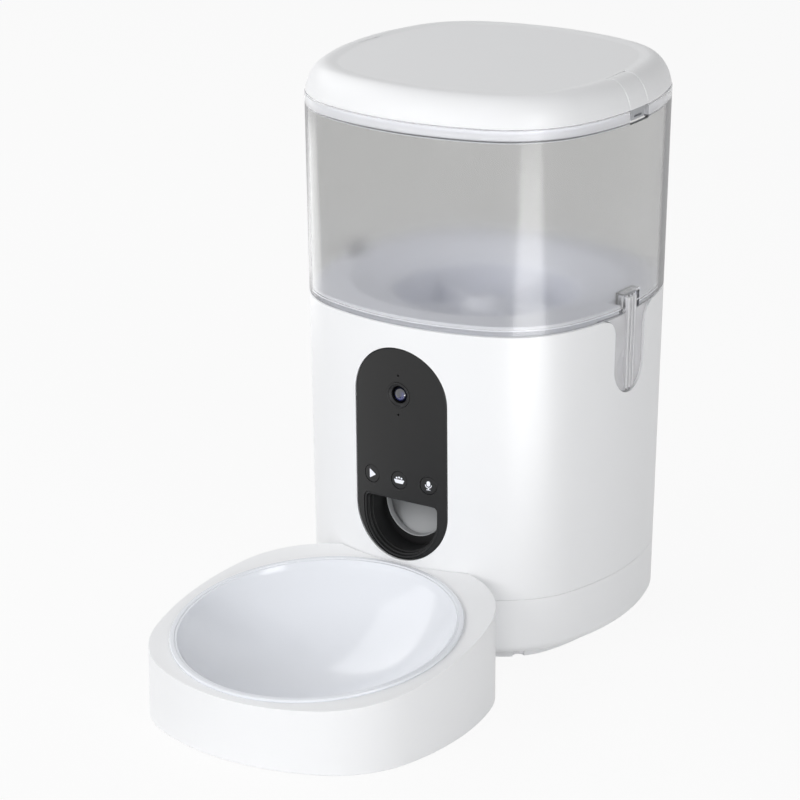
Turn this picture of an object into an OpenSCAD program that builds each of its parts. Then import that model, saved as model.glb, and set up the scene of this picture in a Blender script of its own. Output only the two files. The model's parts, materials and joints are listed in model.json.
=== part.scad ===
// Pet feeder with camera: a white base with a black camera panel and food chute,
// a clear lift-off hopper with a rotor in its floor, a clip-on lid, and a tray with a bowl.
// Millimetres, +Z up, the front with the chute faces -Y. The origin is on the floor,
// under the middle of the whole footprint.

/* [Body] */
// Half of the body's width at the seam between base and hopper
body_half_w = 90; // [86:0.5:96]
// Radius of the gently bowed sides in plan
side_r = 145; // [130:1:165]
// Angle that each half of a bowed side turns through before the corner, in degrees
side_turn = 18.75; // [17:0.25:20]
// Outward lean of the outer walls, in degrees
draft = 1; // [0:0.25:1.5]
// Wall thickness of the moulded shells
wall = 2.5; // [2:0.1:3]
// Height of the seam between the base and the clear hopper
base_h = 188; // [184:0.5:200]
// Height of the seam between the bottom cover and the base shell
cover_h = 40.5; // [37:0.5:44]
// How far the foot ring stands in from the outer wall
foot_inset = 11.5; // [9:0.5:14]
// Height of the foot ring under the rounded lower edge
foot_ring_h = 7.5; // [5:0.5:9]
// Radius of the rounded lower edge
lower_edge_r = 6; // [3:0.5:8]
// Width of the dark seam lines between shells
seam = 0.4; // [0.2:0.1:0.6]

/* [Hopper and lid] */
// Height of the clear hopper wall above the base
hopper_h = 110; // [95:1:130]
// Wall thickness of the clear hopper
hopper_wall = 2.2; // [1.8:0.1:2.6]
// Thickness of the hopper's rim band
rim_t = 4.6; // [4.2:0.1:5.4]
// Height of the hopper's rim band
rim_h = 4.5; // [3:0.5:7]
// Height of the lid above its seam
lid_h = 15.7; // [13:0.5:20]
// Width of the lid's round shoulder
shoulder_w = 12.7; // [10:0.5:15]
// Depth of the flat top below the lid's ridge
lid_dish = 0.8; // [0.4:0.1:1.5]
// Width of the push strips on the lid's sides
strip_w = 19; // [14:0.5:24]
// Depth of the hopper notch under each push strip
notch_h = 7; // [5:0.5:9]
// Depth of the liner plug below the lid seam
plug_h = 8; // [7:0.5:12]
// Radius of the desiccant box under the lid
desiccant_r = 32; // [26:1:38]
// Height of the desiccant box
desiccant_h = 16; // [12:1:24]

/* [Hopper latches] */
// Width of the clear latch tongue
latch_w = 31; // [26:0.5:36]
// Length of the tongue below the hopper seam
latch_drop = 45; // [40:0.5:50]
// Height of the latch hook above the seam
latch_rise = 13; // [10:0.5:18]
// Width of the upright latch hook
hook_w = 14; // [10:0.5:18]
// Thickness of the tongue
latch_t = 3; // [2.5:0.1:3.5]
// Radius of the round shoulders at the tongue's top
latch_shoulder_r = 10; // [7:0.5:12]
// Depth of the pocket behind the tongue
pocket_depth = 12; // [11:0.5:14]
// Radius of the latch pivot
pivot_r = 1.6; // [1.4:0.1:2]

/* [Front panel] */
// Width of the black panel
panel_w = 57.6; // [54:0.2:62]
// Height of the black panel
panel_h = 119.4; // [112:0.2:124]
// Distance of the panel's top below the hopper seam
panel_drop = 12.5; // [10:0.5:16]
// Thickness of the panel
panel_t = 2.4; // [2:0.1:3]
// Distance of the lens below the panel's top
lens_drop = 26.2; // [22:0.2:30]
// Outer radius of the lens bezel
bezel_r = 7.1; // [6:0.1:8]
// Radius of the camera lens
lens_r = 4.6; // [3.5:0.1:5]
// Distance of the pinholes above and below the lens
pinhole_gap = 10.9; // [9.5:0.1:13]
// Radius of the pinholes
pinhole_r = 0.6; // [0.4:0.1:0.9]
// Height of the buttons above the panel's lower end
button_rise = 45.4; // [44:0.2:50]
// Distance between neighbouring buttons
button_gap = 17.7; // [15:0.1:19]
// Radius of the buttons
button_r = 5; // [4:0.1:5.6]
// Travel of the buttons
button_travel = 0.8; // [0.4:0.1:1]
// Width of the chute mouth
mouth_w = 47; // [43:0.5:49]
// Height of the chute mouth
mouth_h = 33.8; // [31:0.2:35]
// Height of the mouth's lower edge above the panel's lower end
mouth_rise = 1; // [0.6:0.1:2]
// Depth of the chute collar behind the panel
collar_depth = 16; // [13:0.5:19]
// Radius of the round opening at the back of the collar
collar_hole_r = 18.8; // [17:0.2:20]

/* [Dispenser] */
// Room between the rotor chamber and the body's side
chamber_margin = 34; // [32:0.5:37]
// Height of the rotor chamber
chamber_h = 27; // [24:0.5:32]
// Outer radius of the rotor hub
hub_r = 12; // [10:0.5:14]
// Number of rotor vanes
vane_count = 6; // [4:1:8]
// Thickness of the rotor vanes
vane_t = 2.4; // [1.6:0.1:3.2]
// Radius of the drive shaft
shaft_r = 4; // [3:0.1:4.2]
// Tooth size of the gears
gear_module = 0.8; // [0.7:0.05:0.9]
// Teeth on the motor pinion
pinion_teeth = 18; // [18:2:20]
// Teeth on the drive gear
gear_teeth = 36; // [36:4:40]
// Thickness of the drive gear
gear_t = 8; // [6:0.5:9]
// Radius of the motor
motor_r = 12; // [10:0.5:14]
// Length of the motor
motor_h = 38; // [30:1:44]
// Inner width of the chute
chute_w = 46; // [40:0.5:48]
// Wall thickness of the chute and other inner mouldings
inner_wall = 2; // [1.6:0.1:2.4]

/* [Tray and bowl] */
// How far the tray stands out in front of the body
tray_out = 154.5; // [151:0.5:160]
// How far the tray's outline runs back past the body's front
tray_dock = 12.5; // [10:0.5:16]
// Width of the tray's top beside the bowl's rim
tray_brim = 5; // [3:0.5:8]
// Radius of the tray's bowed sides in plan
tray_side_r = 150; // [140:1:165]
// Angle that each half of a tray side turns through before the corner, in degrees
tray_turn = 15; // [14:0.25:16]
// Height of the tray's top at its middle
tray_h = 45; // [42:0.5:47]
// Slope of the tray's top, in degrees
tray_slope = 7.4; // [5:0.1:7.9]
// How much smaller the bowl's rim is than half of the tray's reach
bowl_edge = 0.75; // [0.5:0.05:2]
// Depth of the bowl below its rim
bowl_depth = 32.6; // [28:0.2:34]
// Thickness of the bowl
bowl_t = 2.2; // [1.8:0.1:2.6]
// Room between the bowl's rim and the tray's front edge
bowl_room = 1.6; // [1.5:0.1:3]
// Width of the docking tabs between tray and base
tab_w = 16; // [12:0.5:20]

/* [Power and boards] */
// Diameter of the backup cells
cell_d = 34.2; // [26:0.2:34.2]
// Length of the backup cells
cell_l = 61.5; // [50:0.5:61.5]
// Thickness of the circuit boards
board_t = 1.6; // [1:0.2:2]
// Radius of the speaker
speaker_r = 18; // [14:0.5:20]
// Width of the power inlet
inlet_w = 14; // [12:0.5:18]
// Height of the power inlet
inlet_h = 8; // [7:0.5:10]
// Thickness of the rubber feet below the shells
foot_h = 1.5; // [1:0.1:2.5]

/* [Hidden] */
$fn = 64;

// Small gaps: between pieces that move, between fixed pieces, and at running fits
gap = 0.4;
fit = 0.2;
running = 0.06;
// Extra reach of cuts past the faces that they open
over = 1;
// A length that is longer than any piece here
far = 400;

// Colours as the photograph shows them
white = [0.95, 0.95, 0.97];
grey = [0.62, 0.63, 0.64];
black = [0.08, 0.08, 0.09];
clear = [0.80, 0.83, 0.86, 0.45];
steel = [0.72, 0.72, 0.74];
green = [0.10, 0.35, 0.20];
rubber = [0.25, 0.25, 0.26];
bronze = [0.72, 0.55, 0.30];

// Plan outline of eight tangent arcs, as half width, half length, radius of the sides, radius of the
// ends, radius of the corners, corner centre, and the half turns of the sides and of the ends
function end_side_r(b, k, cr) = (k * k + pow(k - b, 2) - cr * cr) / (2 * (b - cr - k));
function outline(a, b, sr, turn) =
    let (k = (sr - a) * tan(turn) / (1 - tan(turn)))
    let (cr = sr - k / sin(turn))
    let (er = end_side_r(b, k, cr))
    [a, b, sr, er, cr, k, turn, atan2(k, k - b + er)];
function arc_points(centre, r, from, to, steps) =
    [for (i = [0:steps - 1])
        let (t = from + (to - from) * i / steps)
        centre + r * [cos(t), sin(t)]];
function quarter_points(o, d) = concat(
    arc_points([o[0] - o[2], 0], o[2] + d, 0, o[6], 8),
    arc_points([o[5], o[5]], o[4] + d, o[6], 90 - o[7], 12),
    arc_points([0, o[1] - o[3]], o[3] + d, 90 - o[7], 90, 8));
function half_points(o, d) =
    let (q = quarter_points(o, d))
    concat(q, [[0, o[1] + d]], [for (i = [len(q) - 1:-1:1]) [-q[i][0], q[i][1]]]);
function outline_points(o, d) = concat(half_points(o, d), [for (p = half_points(o, d)) -p]);

body = outline(body_half_w, body_half_w, side_r, side_turn);
corner_r = body[4];
corner_reach = body[5] + corner_r * cos(45);

// Offset of the outer face from the plan outline at a height
function lean(z) = (z - base_h) * tan(draft);

// Heights of the main planes
cover_floor = foot_h;
cover_floor_t = wall;
rim_drop = 4;
deck_top = base_h - rim_drop;
deck_t = wall;
ledge_w = 2.5;
ledge_h = 1.5;
lid_z = base_h + hopper_h;
lid_bottom = lid_z + 0.3;
lid_top = lid_z + lid_h;
flange_t = 2.5;
flange_top = base_h + flange_t;
funnel_t = 2.5;
funnel_top = flange_top + funnel_t;

// Front panel places
panel_top = base_h - panel_drop;
panel_bottom = panel_top - panel_h;
panel_sink = 0.3;
panel_back = panel_sink + panel_t;
lens_z = panel_top - lens_drop;
button_z = panel_bottom + button_rise;
mouth_bottom = panel_bottom + mouth_rise;
mouth_top = mouth_bottom + mouth_h;
mouth_corner_r = 4;
front_y = -(body_half_w + lean(mouth_bottom + mouth_h / 2));
collar_back = front_y + panel_back + collar_depth;
collar_hole_rise = 3;
collar_hole_z = mouth_bottom + mouth_w / 2 + collar_hole_rise;
lens_front = -(body_half_w + lean(lens_z)) + panel_sink;
camera_nose = lens_front + 4.5;
camera_back = lens_front + 16;
camera_half_w = 9;
camera_box_t = 7;
camera_board_half_w = 16;
camera_board_half_h = 13;
board_setback = 9.5;
board_y = front_y + board_setback;
button_back = board_y - 3;
button_lip = 1.2;

// Rotor, gears and motor
chamber_r = body_half_w - chamber_margin;
chamber_top = base_h - 6;
chamber_floor_t = 2.5;
chamber_bottom = chamber_top - chamber_h;
chamber_flange_r = chamber_r + 4;
chamber_flange_t = 2.5;
chamber_screw_places = [for (t = [45:90:315]) (chamber_r + 1.8) * [cos(t), sin(t)]];
well_r = chamber_flange_r + 2;
hub_bottom = chamber_bottom + chamber_floor_t + 0.3;
hub_top = chamber_top - 2;
hub_cone_h = 4;
hub_spigot_r = 7;
dog_w = 8;
dog_h = 9;
outlet_w = chute_w - 2;
outlet_back = 24;
outlet_front = sqrt(pow(chamber_r - inner_wall - 1, 2) - pow(outlet_w / 2, 2));
plate_t = 3;
plate_top = chamber_bottom - 5.5;
plate_bottom = plate_top - plate_t;
plate_half_w = well_r + 10;
plate_front = -18;
plate_rear = 54;
post_r = 4;
post_places = [for (x = [-1, 1]) for (y = [plate_front + 6, plate_rear - 8]) [x * (plate_half_w - 6), y]];
bush_r = shaft_r + 2;
bush_flange_r = bush_r + 1.6;
bush_flange_t = 1.2;
housing_h = 24;
housing_bottom = plate_bottom - housing_h;
gear_z = housing_bottom + 7;
gear_gap = gear_module * (gear_teeth + pinion_teeth) / 2;
gear_tip_r = gear_module * (gear_teeth / 2 + 1);
boss_t = 3;
boss_rise = 3;
housing_half_w = gear_tip_r + inner_wall + 3;
housing_front = -housing_half_w;
housing_rear = gear_gap + gear_module * (pinion_teeth / 2 + 1) + inner_wall + 3;
housing_floor_t = 2.5;
ear_t = 4;
ear_r = 4;
housing_ears = [for (x = [-1, 1]) for (y = [-8, housing_rear - 8]) [x * (housing_half_w + ear_r), y]];
motor_shaft_r = 1.5;
motor_nose_r = 4.5;

// Chute between the rotor outlet and the collar
chute_top = chamber_bottom - 1;
chute_rear = -outlet_back + 3;
chute_exit_y = collar_back + fit;
chute_exit_low = collar_hole_z - collar_hole_r - 1;
chute_exit_high = mouth_top + inner_wall;
chute_half_w = chute_w / 2 + inner_wall;

// Screws
screw_r = 1.5;
screw_head_r = 3;
screw_head_h = 2;
base_post = corner_reach - 13;
base_post_r = 4.5;
base_post_h = 24;
cover_screw_z = cover_floor + 5;
screw_bite = 12;
board_post_r = 3;

// Battery bay
cell_gap = 1;
bay_clear = 0.6;
bay_half_w = 1.5 * cell_d + cell_gap + bay_clear;
bay_half_l = cell_l / 2 + 1.6;
door_t = cover_floor_t - 0.3;
door_lip = 2.4;
bay_floor = cover_floor + cover_floor_t;
cell_z = bay_floor + bay_clear + cell_d / 2;
bay_top = cell_z + cell_d / 2 + bay_clear;
contact_t = 0.5;
contact_half_w = 8;

// Foot ring and rubber feet under the cover
foot_ring_t = 4;
foot_r = 8;
foot_sink = 1;
foot_places = [for (x = [-1, 1]) for (y = [-1, 1]) [x * 30, y * (bay_half_l + door_lip + 22)]];

// Main board, speaker and power inlet at the back
main_board_y = body_half_w - 25;
main_board_half_w = 38;
main_board_rise = 28;
main_board_l = 64;
main_board_low = cover_h + main_board_rise;
main_board_high = main_board_low + main_board_l;
board_screw_places = [for (x = [-1, 1]) for (z = [main_board_low + 5, main_board_high - 5])
    [x * (main_board_half_w - 5), z]];
speaker_z = (main_board_low + main_board_high) / 2;
speaker_front = main_board_y + board_t + 6;
speaker_depth = 10;
inlet_z = cover_h + 13;
back_y = body_half_w + lean(inlet_z);
inlet_depth = 12;

// Tray and bowl
bowl_rim_r = tray_out / 2 - bowl_edge;
tray_half_w = bowl_rim_r + tray_brim;
tray_half_l = (tray_out + tray_dock) / 2;
tray_reach = body_half_w + tray_out;
tray_yc = -tray_reach + tray_half_l;
tray_plan = outline(tray_half_w, tray_half_l, tray_side_r, tray_turn);
tray_corner_r = tray_plan[4];
tray_top_t = 2.5;
bowl_y = -tray_reach + bowl_rim_r + bowl_room;
bowl_top_z = tray_h + tan(tray_slope) * (bowl_y - tray_yc);
bowl_rim_h = 1.6;
bowl_open_r = bowl_rim_r - 4;
bowl_in_r = (pow(bowl_open_r, 2) + pow(bowl_depth, 2)) / (2 * bowl_depth);
bowl_centre_h = bowl_rim_h + bowl_in_r - bowl_depth;
bowl_seat_r = sqrt(pow(bowl_in_r + bowl_t, 2) - pow(bowl_centre_h, 2)) + gap;
tray_foot_r = 4.5;
tray_foot_spread = 0.62;
tray_foot_at = tray_plan[5] + tray_corner_r * tray_foot_spread;
tray_foot_places = [for (x = [-1, 1]) for (y = [-1, 1]) [x * tray_foot_at, tray_yc + y * tray_foot_at]];
tray_body_room = 0.6;
tray_body_gap = lean(tray_h) + tray_body_room;
tab_x = 30;
tab_h = 5;
tab_rise = 4.5;
tab_z = cover_floor + foot_ring_h + lower_edge_r + tab_rise;
tab_end = -body_half_w + 18;

// Latch places
pivot_z = base_h - 10.5;
pivot_x = body_half_w - 5.6;
tongue_out = 1.2;
pocket_wall = 2.5;
flare_cut = body_half_w - tongue_out - latch_t - 3.5;
latch_bottom = base_h - latch_drop;
hook_top = base_h + latch_rise;
hook_pocket_w = hook_w + 3;
hook_pocket_depth = 9;
hook_pocket_top = hook_top + 2.5;
hook_pocket_wall = 1.6;

// Lid places
strip_gap = 0.5;
liner_inset = wall + 0.9;
plug_out = rim_t + 1.6;
plug_t = 2;
seal_t = 1.3;
lid_post_r = 3.5;
lid_post = corner_reach - 24;
lid_post_places = [for (x = [-1, 1]) for (y = [-1, 1]) [x * lid_post, y * lid_post]];
strip_end = shoulder_w + 1;
shoulder_drop = 4.4;
shoulder_rise = lid_h + shoulder_drop;
ridge_d = lean(lid_z) - shoulder_w;
dish_run = 2.5;
liner_t = 2;

// The whole footprint, to centre the origin under it
back_reach = body_half_w + lean(lid_z);
origin_shift = (tray_reach - back_reach) / 2;
module placed() {
    translate([0, origin_shift, 0]) children();
}

// A shift in two steps, so that neighbouring arcs meet to a millionth of a millimetre
module shifted(v) {
    coarse = [for (c = v) floor(c * 1000) / 1000];
    translate(coarse) translate(v - coarse) children();
}
// One arc of a swept wall; its profile is drawn in offset and height
module arc_piece(centre, r, from, span) {
    shifted(centre) rotate_extrude(angle = span, start = from, $fn = 240) shifted([r, 0]) children();
}
module right_arc() {
    arc_piece([body_half_w - side_r, 0], side_r, -side_turn, 2 * side_turn) children();
}
module front_arc() {
    rotate(-90) right_arc() children();
}
module swept_body() {
    for (quarter = [0:90:270]) rotate(quarter) {
        right_arc() children();
        arc_piece([body[5], body[5]], corner_r, side_turn, 90 - 2 * side_turn) children();
    }
}
// A filled plate of the plan outline
module plate(o, d, z0, z1) {
    translate([0, 0, z0]) linear_extrude(z1 - z0) polygon(outline_points(o, d));
}
// Shapes drawn in X and Z, or in Y and Z, and given a depth
module from_front(y0, y1) {
    translate([0, y1, 0]) rotate([90, 0, 0]) linear_extrude(y1 - y0) children();
}
module from_side(x0, x1) {
    translate([x0, 0, 0]) rotate([90, 0, 90]) linear_extrude(x1 - x0) children();
}
module box(low, high) {
    translate(low) cube(high - low);
}
module upright(x, y, z0, z1, r) {
    translate([x, y, z0]) cylinder(h = z1 - z0, r = r);
}
module along_y(x, z, y0, y1, r) {
    translate([x, y0, z]) rotate([-90, 0, 0]) cylinder(h = y1 - y0, r = r);
}
module tube(z0, z1, outer, inner) {
    difference() {
        upright(0, 0, z0, z1, outer);
        upright(0, 0, z0 - over, z1 + over, inner);
    }
}
module both_sides() {
    children();
    mirror([1, 0, 0]) children();
}
module pan_screw(length) {
    cylinder(h = screw_head_h, r = screw_head_r);
    translate([0, 0, screw_head_h]) cylinder(h = length, r = screw_r);
}

// Outlines of the panel, the mouth and the latch tongue
module stadium(w, z0, z1) {
    translate([0, z0 + w / 2]) circle(w / 2);
    translate([0, z1 - w / 2]) circle(w / 2);
    translate([-w / 2, z0 + w / 2]) square([w, z1 - z0 - w]);
}
module mouth_shape(grow) {
    w = mouth_w / 2 + grow;
    r = mouth_corner_r + grow;
    low = mouth_bottom + mouth_w / 2;
    intersection() {
        translate([0, low]) circle(w);
        translate([-w, low - w]) square([2 * w, w]);
    }
    translate([-w, low]) square([2 * w, mouth_top - mouth_corner_r - low]);
    translate([-w + r, low]) square([2 * (w - r), mouth_top + grow - low]);
    for (x = [-1, 1]) translate([x * (w - r), mouth_top + grow - r]) circle(r);
}
module tongue_shape(grow, top) {
    w = latch_w / 2 + grow;
    translate([0, latch_bottom + latch_w / 2]) circle(w);
    translate([-w, latch_bottom + latch_w / 2]) square([2 * w, top - latch_bottom - latch_w / 2]);
}
module tongue_flare(grow, top) {
    r = latch_shoulder_r - grow;
    low = base_h - 0.5 - latch_shoulder_r;
    w = latch_w / 2 + latch_shoulder_r;
    difference() {
        translate([-w, low]) square([2 * w, top - low]);
        for (x = [-1, 1]) translate([x * w, low]) circle(r);
    }
}

// Involute spur gears
function involute(r, t) = r * [cos(t) + t * PI / 180 * sin(t), sin(t) - t * PI / 180 * cos(t)];
function spin(p, t) = [p[0] * cos(t) - p[1] * sin(t), p[0] * sin(t) + p[1] * cos(t)];
function tooth_points(n, m, slack) =
    let (pitch_r = m * n / 2, base_r = pitch_r * cos(20), tip_r = pitch_r + 0.9 * m)
    let (root_r = pitch_r - 1.25 * m, steps = 5)
    let (lean_in = 90 / n + tan(20) * 180 / PI - 20 - slack)
    let (reach = sqrt(pow(tip_r / base_r, 2) - 1) * 180 / PI)
    let (low = spin([root_r, 0], -lean_in))
    let (flank = [for (i = [0:steps]) spin(involute(base_r, reach * i / steps), -lean_in)])
    concat([low], flank, [for (i = [steps:-1:0]) [flank[i][0], -flank[i][1]]], [[low[0], -low[1]]]);
module spur_gear(n, m, h, slack) {
    linear_extrude(h)
        polygon([for (i = [0:n - 1]) for (p = tooth_points(n, m, slack)) spin(p, 360 * i / n)]);
}

// White outer shell of the base, with the deck that the hopper stands on
module latch_pocket() {
    from_side(body_half_w - pocket_depth - pocket_wall, body_half_w - wall / 2)
        tongue_shape(gap + pocket_wall, deck_top);
}
module latch_cuts() {
    from_side(body_half_w - pocket_depth, body_half_w + far) tongue_shape(gap, base_h + over);
    from_side(flare_cut, body_half_w + far) tongue_flare(gap, base_h + over);
    along_y(pivot_x, pivot_z, -latch_w, latch_w, pivot_r + running);
}
module wall_rib(x, y, z0, z1) {
    reach = corner_reach * sqrt(2) - norm([x, y]) + lean(z0) - wall / 2;
    translate([x, y, z0]) rotate(atan2(y, x)) translate([0, -1, 0]) cube([reach, 2, z1 - z0]);
}
module base_shell() {
    low = cover_h + seam / 2;
    high = base_h - seam / 2;
    edge = 0.6;
    color(white) placed() difference() {
        union() {
            swept_body() polygon([[lean(low), low], [lean(high - edge), high - edge], [lean(high) - edge, high],
                [lean(high) - wall, high], [lean(low) - wall, low]]);
            deck_ledge();
            for (x = [-1, 1]) for (y = [-1, 1]) {
                upright(x * base_post, y * base_post, cover_h + 1, cover_h + base_post_h, base_post_r);
                wall_rib(x * base_post, y * base_post, cover_h + 1, cover_h + base_post_h);
            }
            intersection() {
                plate(body, lean(speaker_z) - wall / 2, 0, base_h);
                union() {
                    for (p = board_screw_places)
                        along_y(p[0], p[1], main_board_y + board_t, far, board_post_r);
                    along_y(0, speaker_z, speaker_front, far, speaker_r + gap + inner_wall);
                }
            }
        }
        from_front(-far, -body_half_w / 2) stadium(panel_w, panel_bottom, panel_top);
        both_sides() latch_cuts();
        along_y(0, speaker_z, speaker_front - over, speaker_front + speaker_depth, speaker_r + gap);
        speaker_grille();
        from_front(body_half_w / 2, far) translate([-inlet_w / 2 - fit, inlet_z - inlet_h / 2 - fit])
            square([inlet_w + 2 * fit, inlet_h + 2 * fit]);
        for (x = [-1, 1]) for (y = [-1, 1])
            upright(x * base_post, y * base_post, cover_h, cover_h + 1 + screw_bite, screw_r + running);
        for (p = board_screw_places)
            along_y(p[0], p[1], main_board_y, main_board_y + board_t + screw_bite, screw_r + running);
    }
}
// Deck under the hopper, on a ledge of the shell, with the latch pockets and the posts of the drive
module deck_ledge() {
    low = deck_top - deck_t;
    reach = wall + ledge_w;
    difference() {
        swept_body() polygon([[lean(low) - wall / 2, low], [lean(low) - reach, low],
            [lean(low) - reach, low - ledge_h], [lean(low) - wall / 2, low - ledge_h - ledge_w]]);
        both_sides() from_side(0, far) tongue_shape(gap + pocket_wall + fit, base_h);
    }
}
module base_deck() {
    low = latch_bottom - gap - pocket_wall - 1;
    color(white) placed() difference() {
        union() {
            plate(body, 0, deck_top - deck_t, deck_top);
            both_sides() latch_pocket();
            for (p = post_places) upright(p[0], p[1], plate_top, deck_top - deck_t / 2, post_r);
        }
        swept_body() polygon([[lean(low) - wall - fit, low], [lean(base_h) - wall - fit, base_h],
            [wall, base_h], [wall, low]]);
        both_sides() latch_cuts();
        upright(0, 0, deck_top - deck_t - over, base_h, well_r);
        for (p = post_places) upright(p[0], p[1], plate_top - over, plate_top + screw_bite, screw_r + running);
    }
}
module speaker_grille() {
    for (ring = [1:2]) for (i = [0:6 * ring - 1])
        along_y(6 * ring * cos(60 * i / ring), speaker_z + 6 * ring * sin(60 * i / ring),
            speaker_front + speaker_depth - over, far, 1.2);
    along_y(0, speaker_z, speaker_front + speaker_depth - over, far, 1.2);
}

// Bottom cover with the foot ring, the battery bay and the tray's docking slots
module bottom_cover() {
    high = cover_h - seam / 2;
    foot = lean(cover_floor) - foot_inset;
    foot_in = foot - foot_ring_t;
    low_edge = cover_floor + foot_ring_h + lower_edge_r;
    edge_d = lean(low_edge) - lower_edge_r;
    ring_top = bay_floor + foot_ring_h;
    color(white) placed() difference() {
        union() {
            swept_body() difference() {
                polygon(concat([[lean(high), high]],
                    [for (t = [0:10:90]) [edge_d + lower_edge_r * cos(t), low_edge - lower_edge_r * sin(t)]],
                    [[foot, cover_floor + foot_ring_h], [foot, cover_floor], [foot_in, cover_floor],
                    [foot_in, high]]));
                polygon([[lean(high) - wall, high + over], [lean(low_edge) - wall, low_edge + wall],
                    [foot + wall, ring_top], [foot_in - over, ring_top], [foot_in - over, high + over]]);
            }
            plate(body, foot_in + over, cover_floor, bay_floor);
            box([-bay_half_w - inner_wall, -bay_half_l - inner_wall, cover_floor],
                [bay_half_w + inner_wall, bay_half_l + inner_wall, bay_top + inner_wall]);
            box([-bay_half_w - door_lip - inner_wall, -bay_half_l - door_lip - inner_wall, cover_floor],
                [bay_half_w + door_lip + inner_wall, bay_half_l + door_lip + inner_wall,
                bay_floor + inner_wall]);
            for (x = [-1, 1]) for (y = [-1, 1])
                upright(x * base_post, y * base_post, cover_floor, cover_h + 1, base_post_r);
        }
        box([-bay_half_w, -bay_half_l, cover_floor - over], [bay_half_w, bay_half_l, bay_top]);
        box([-bay_half_w - door_lip, -bay_half_l - door_lip, cover_floor - over],
            [bay_half_w + door_lip, bay_half_l + door_lip, bay_floor]);
        for (x = [-1, 1]) for (y = [-1, 1]) {
            upright(x * base_post, y * base_post, cover_floor - over, cover_h + 2, screw_r + fit);
            upright(x * base_post, y * base_post, cover_floor - over, cover_screw_z, screw_head_r + fit);
        }
        both_sides() box([tab_x - tab_w / 2 - gap, -far, tab_z - gap],
            [tab_x + tab_w / 2 + gap, -body_half_w / 2, tab_z + tab_h + gap]);
        for (p = foot_places) upright(p[0], p[1], cover_floor - over, cover_floor + foot_sink, foot_r + fit);
    }
}
module base_screws() {
    color(steel) placed() for (x = [-1, 1]) for (y = [-1, 1])
        translate([x * base_post, y * base_post, cover_screw_z - screw_head_h])
            pan_screw(cover_h + screw_bite - cover_screw_z);
}
module rubber_feet() {
    color(rubber) placed() for (p = foot_places) upright(p[0], p[1], 0, cover_floor + foot_sink, foot_r);
}

// Black camera panel, flush with the bowed front, and the collar of the food mouth
module front_skin(out, depth, z0, z1) {
    front_arc() polygon([[lean(z0) - out, z0], [lean(z1) - out, z1], [lean(z1) - out - depth, z1],
        [lean(z0) - out - depth, z0]]);
}
module front_panel() {
    color(black) placed() difference() {
        intersection() {
            front_skin(panel_sink, panel_t, panel_bottom - over, panel_top + over);
            from_front(-far, 0) stadium(panel_w - 2 * fit, panel_bottom + fit, panel_top - fit);
        }
        from_front(-far, 0) mouth_shape(fit);
        along_y(0, lens_z, -far, 0, bezel_r + fit);
        for (z = [lens_z - pinhole_gap, lens_z + pinhole_gap]) along_y(0, z, -far, 0, pinhole_r);
        for (x = [-1:1]) along_y(x * button_gap, button_z, -far, 0, button_r + gap);
    }
}
module chute_collar() {
    color(black) placed() difference() {
        union() {
            intersection() {
                from_front(-far, collar_back) mouth_shape(0);
                union() {
                    front_skin(panel_sink + 0.2, panel_back + 1, panel_bottom - over, panel_top);
                    box([-far, front_y + panel_back, 0], [far, collar_back, base_h]);
                }
            }
            from_front(front_y + panel_back + 4, collar_back) mouth_shape(inner_wall);
        }
        from_front(-far, collar_back - inner_wall) mouth_shape(-inner_wall);
        from_front(-far, 0) intersection() {
            translate([0, collar_hole_z]) circle(collar_hole_r);
            mouth_shape(-inner_wall);
        }
    }
}

// Camera: bezel, lens, module, board and ribbon
module camera_bezel() {
    color(black) placed() difference() {
        along_y(0, lens_z, lens_front - 0.5, lens_front + 6, bezel_r);
        along_y(0, lens_z, lens_front + 3, lens_front + 7, lens_r + 1 + fit);
        translate([0, lens_front - 0.6, lens_z]) rotate([-90, 0, 0])
            cylinder(h = 3.7, r1 = lens_r + 1.6, r2 = lens_r + fit);
    }
}
module camera_lens() {
    dome = 2 * lens_r;
    color([0.10, 0.14, 0.25]) placed() intersection() {
        translate([0, lens_front + 0.4 + dome, lens_z]) sphere(r = dome);
        along_y(0, lens_z, lens_front, camera_nose, lens_r);
    }
}
module camera_module() {
    color(black) placed() {
        along_y(0, lens_z, camera_nose, camera_back, lens_r + 1);
        box([-camera_half_w, camera_back - camera_box_t, lens_z - camera_half_w],
            [camera_half_w, camera_back, lens_z + camera_half_w]);
    }
}
module camera_board() {
    color(green) placed()
        box([-camera_board_half_w, camera_back, lens_z - camera_board_half_h],
            [camera_board_half_w, camera_back + board_t, lens_z + camera_board_half_h]);
}
module camera_ribbon() {
    t = 0.5;
    back = camera_back + board_t;
    low_back = board_y + board_t;
    color(grey) placed() from_side(-5, 5)
        polygon([[back, lens_z - 6], [back + t, lens_z - 6], [back + t, lens_z - 16],
            [low_back + t, button_z + 10], [low_back + t, button_z + 2], [low_back, button_z + 2],
            [low_back, button_z + 10], [back, lens_z - 16]]);
}

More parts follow.
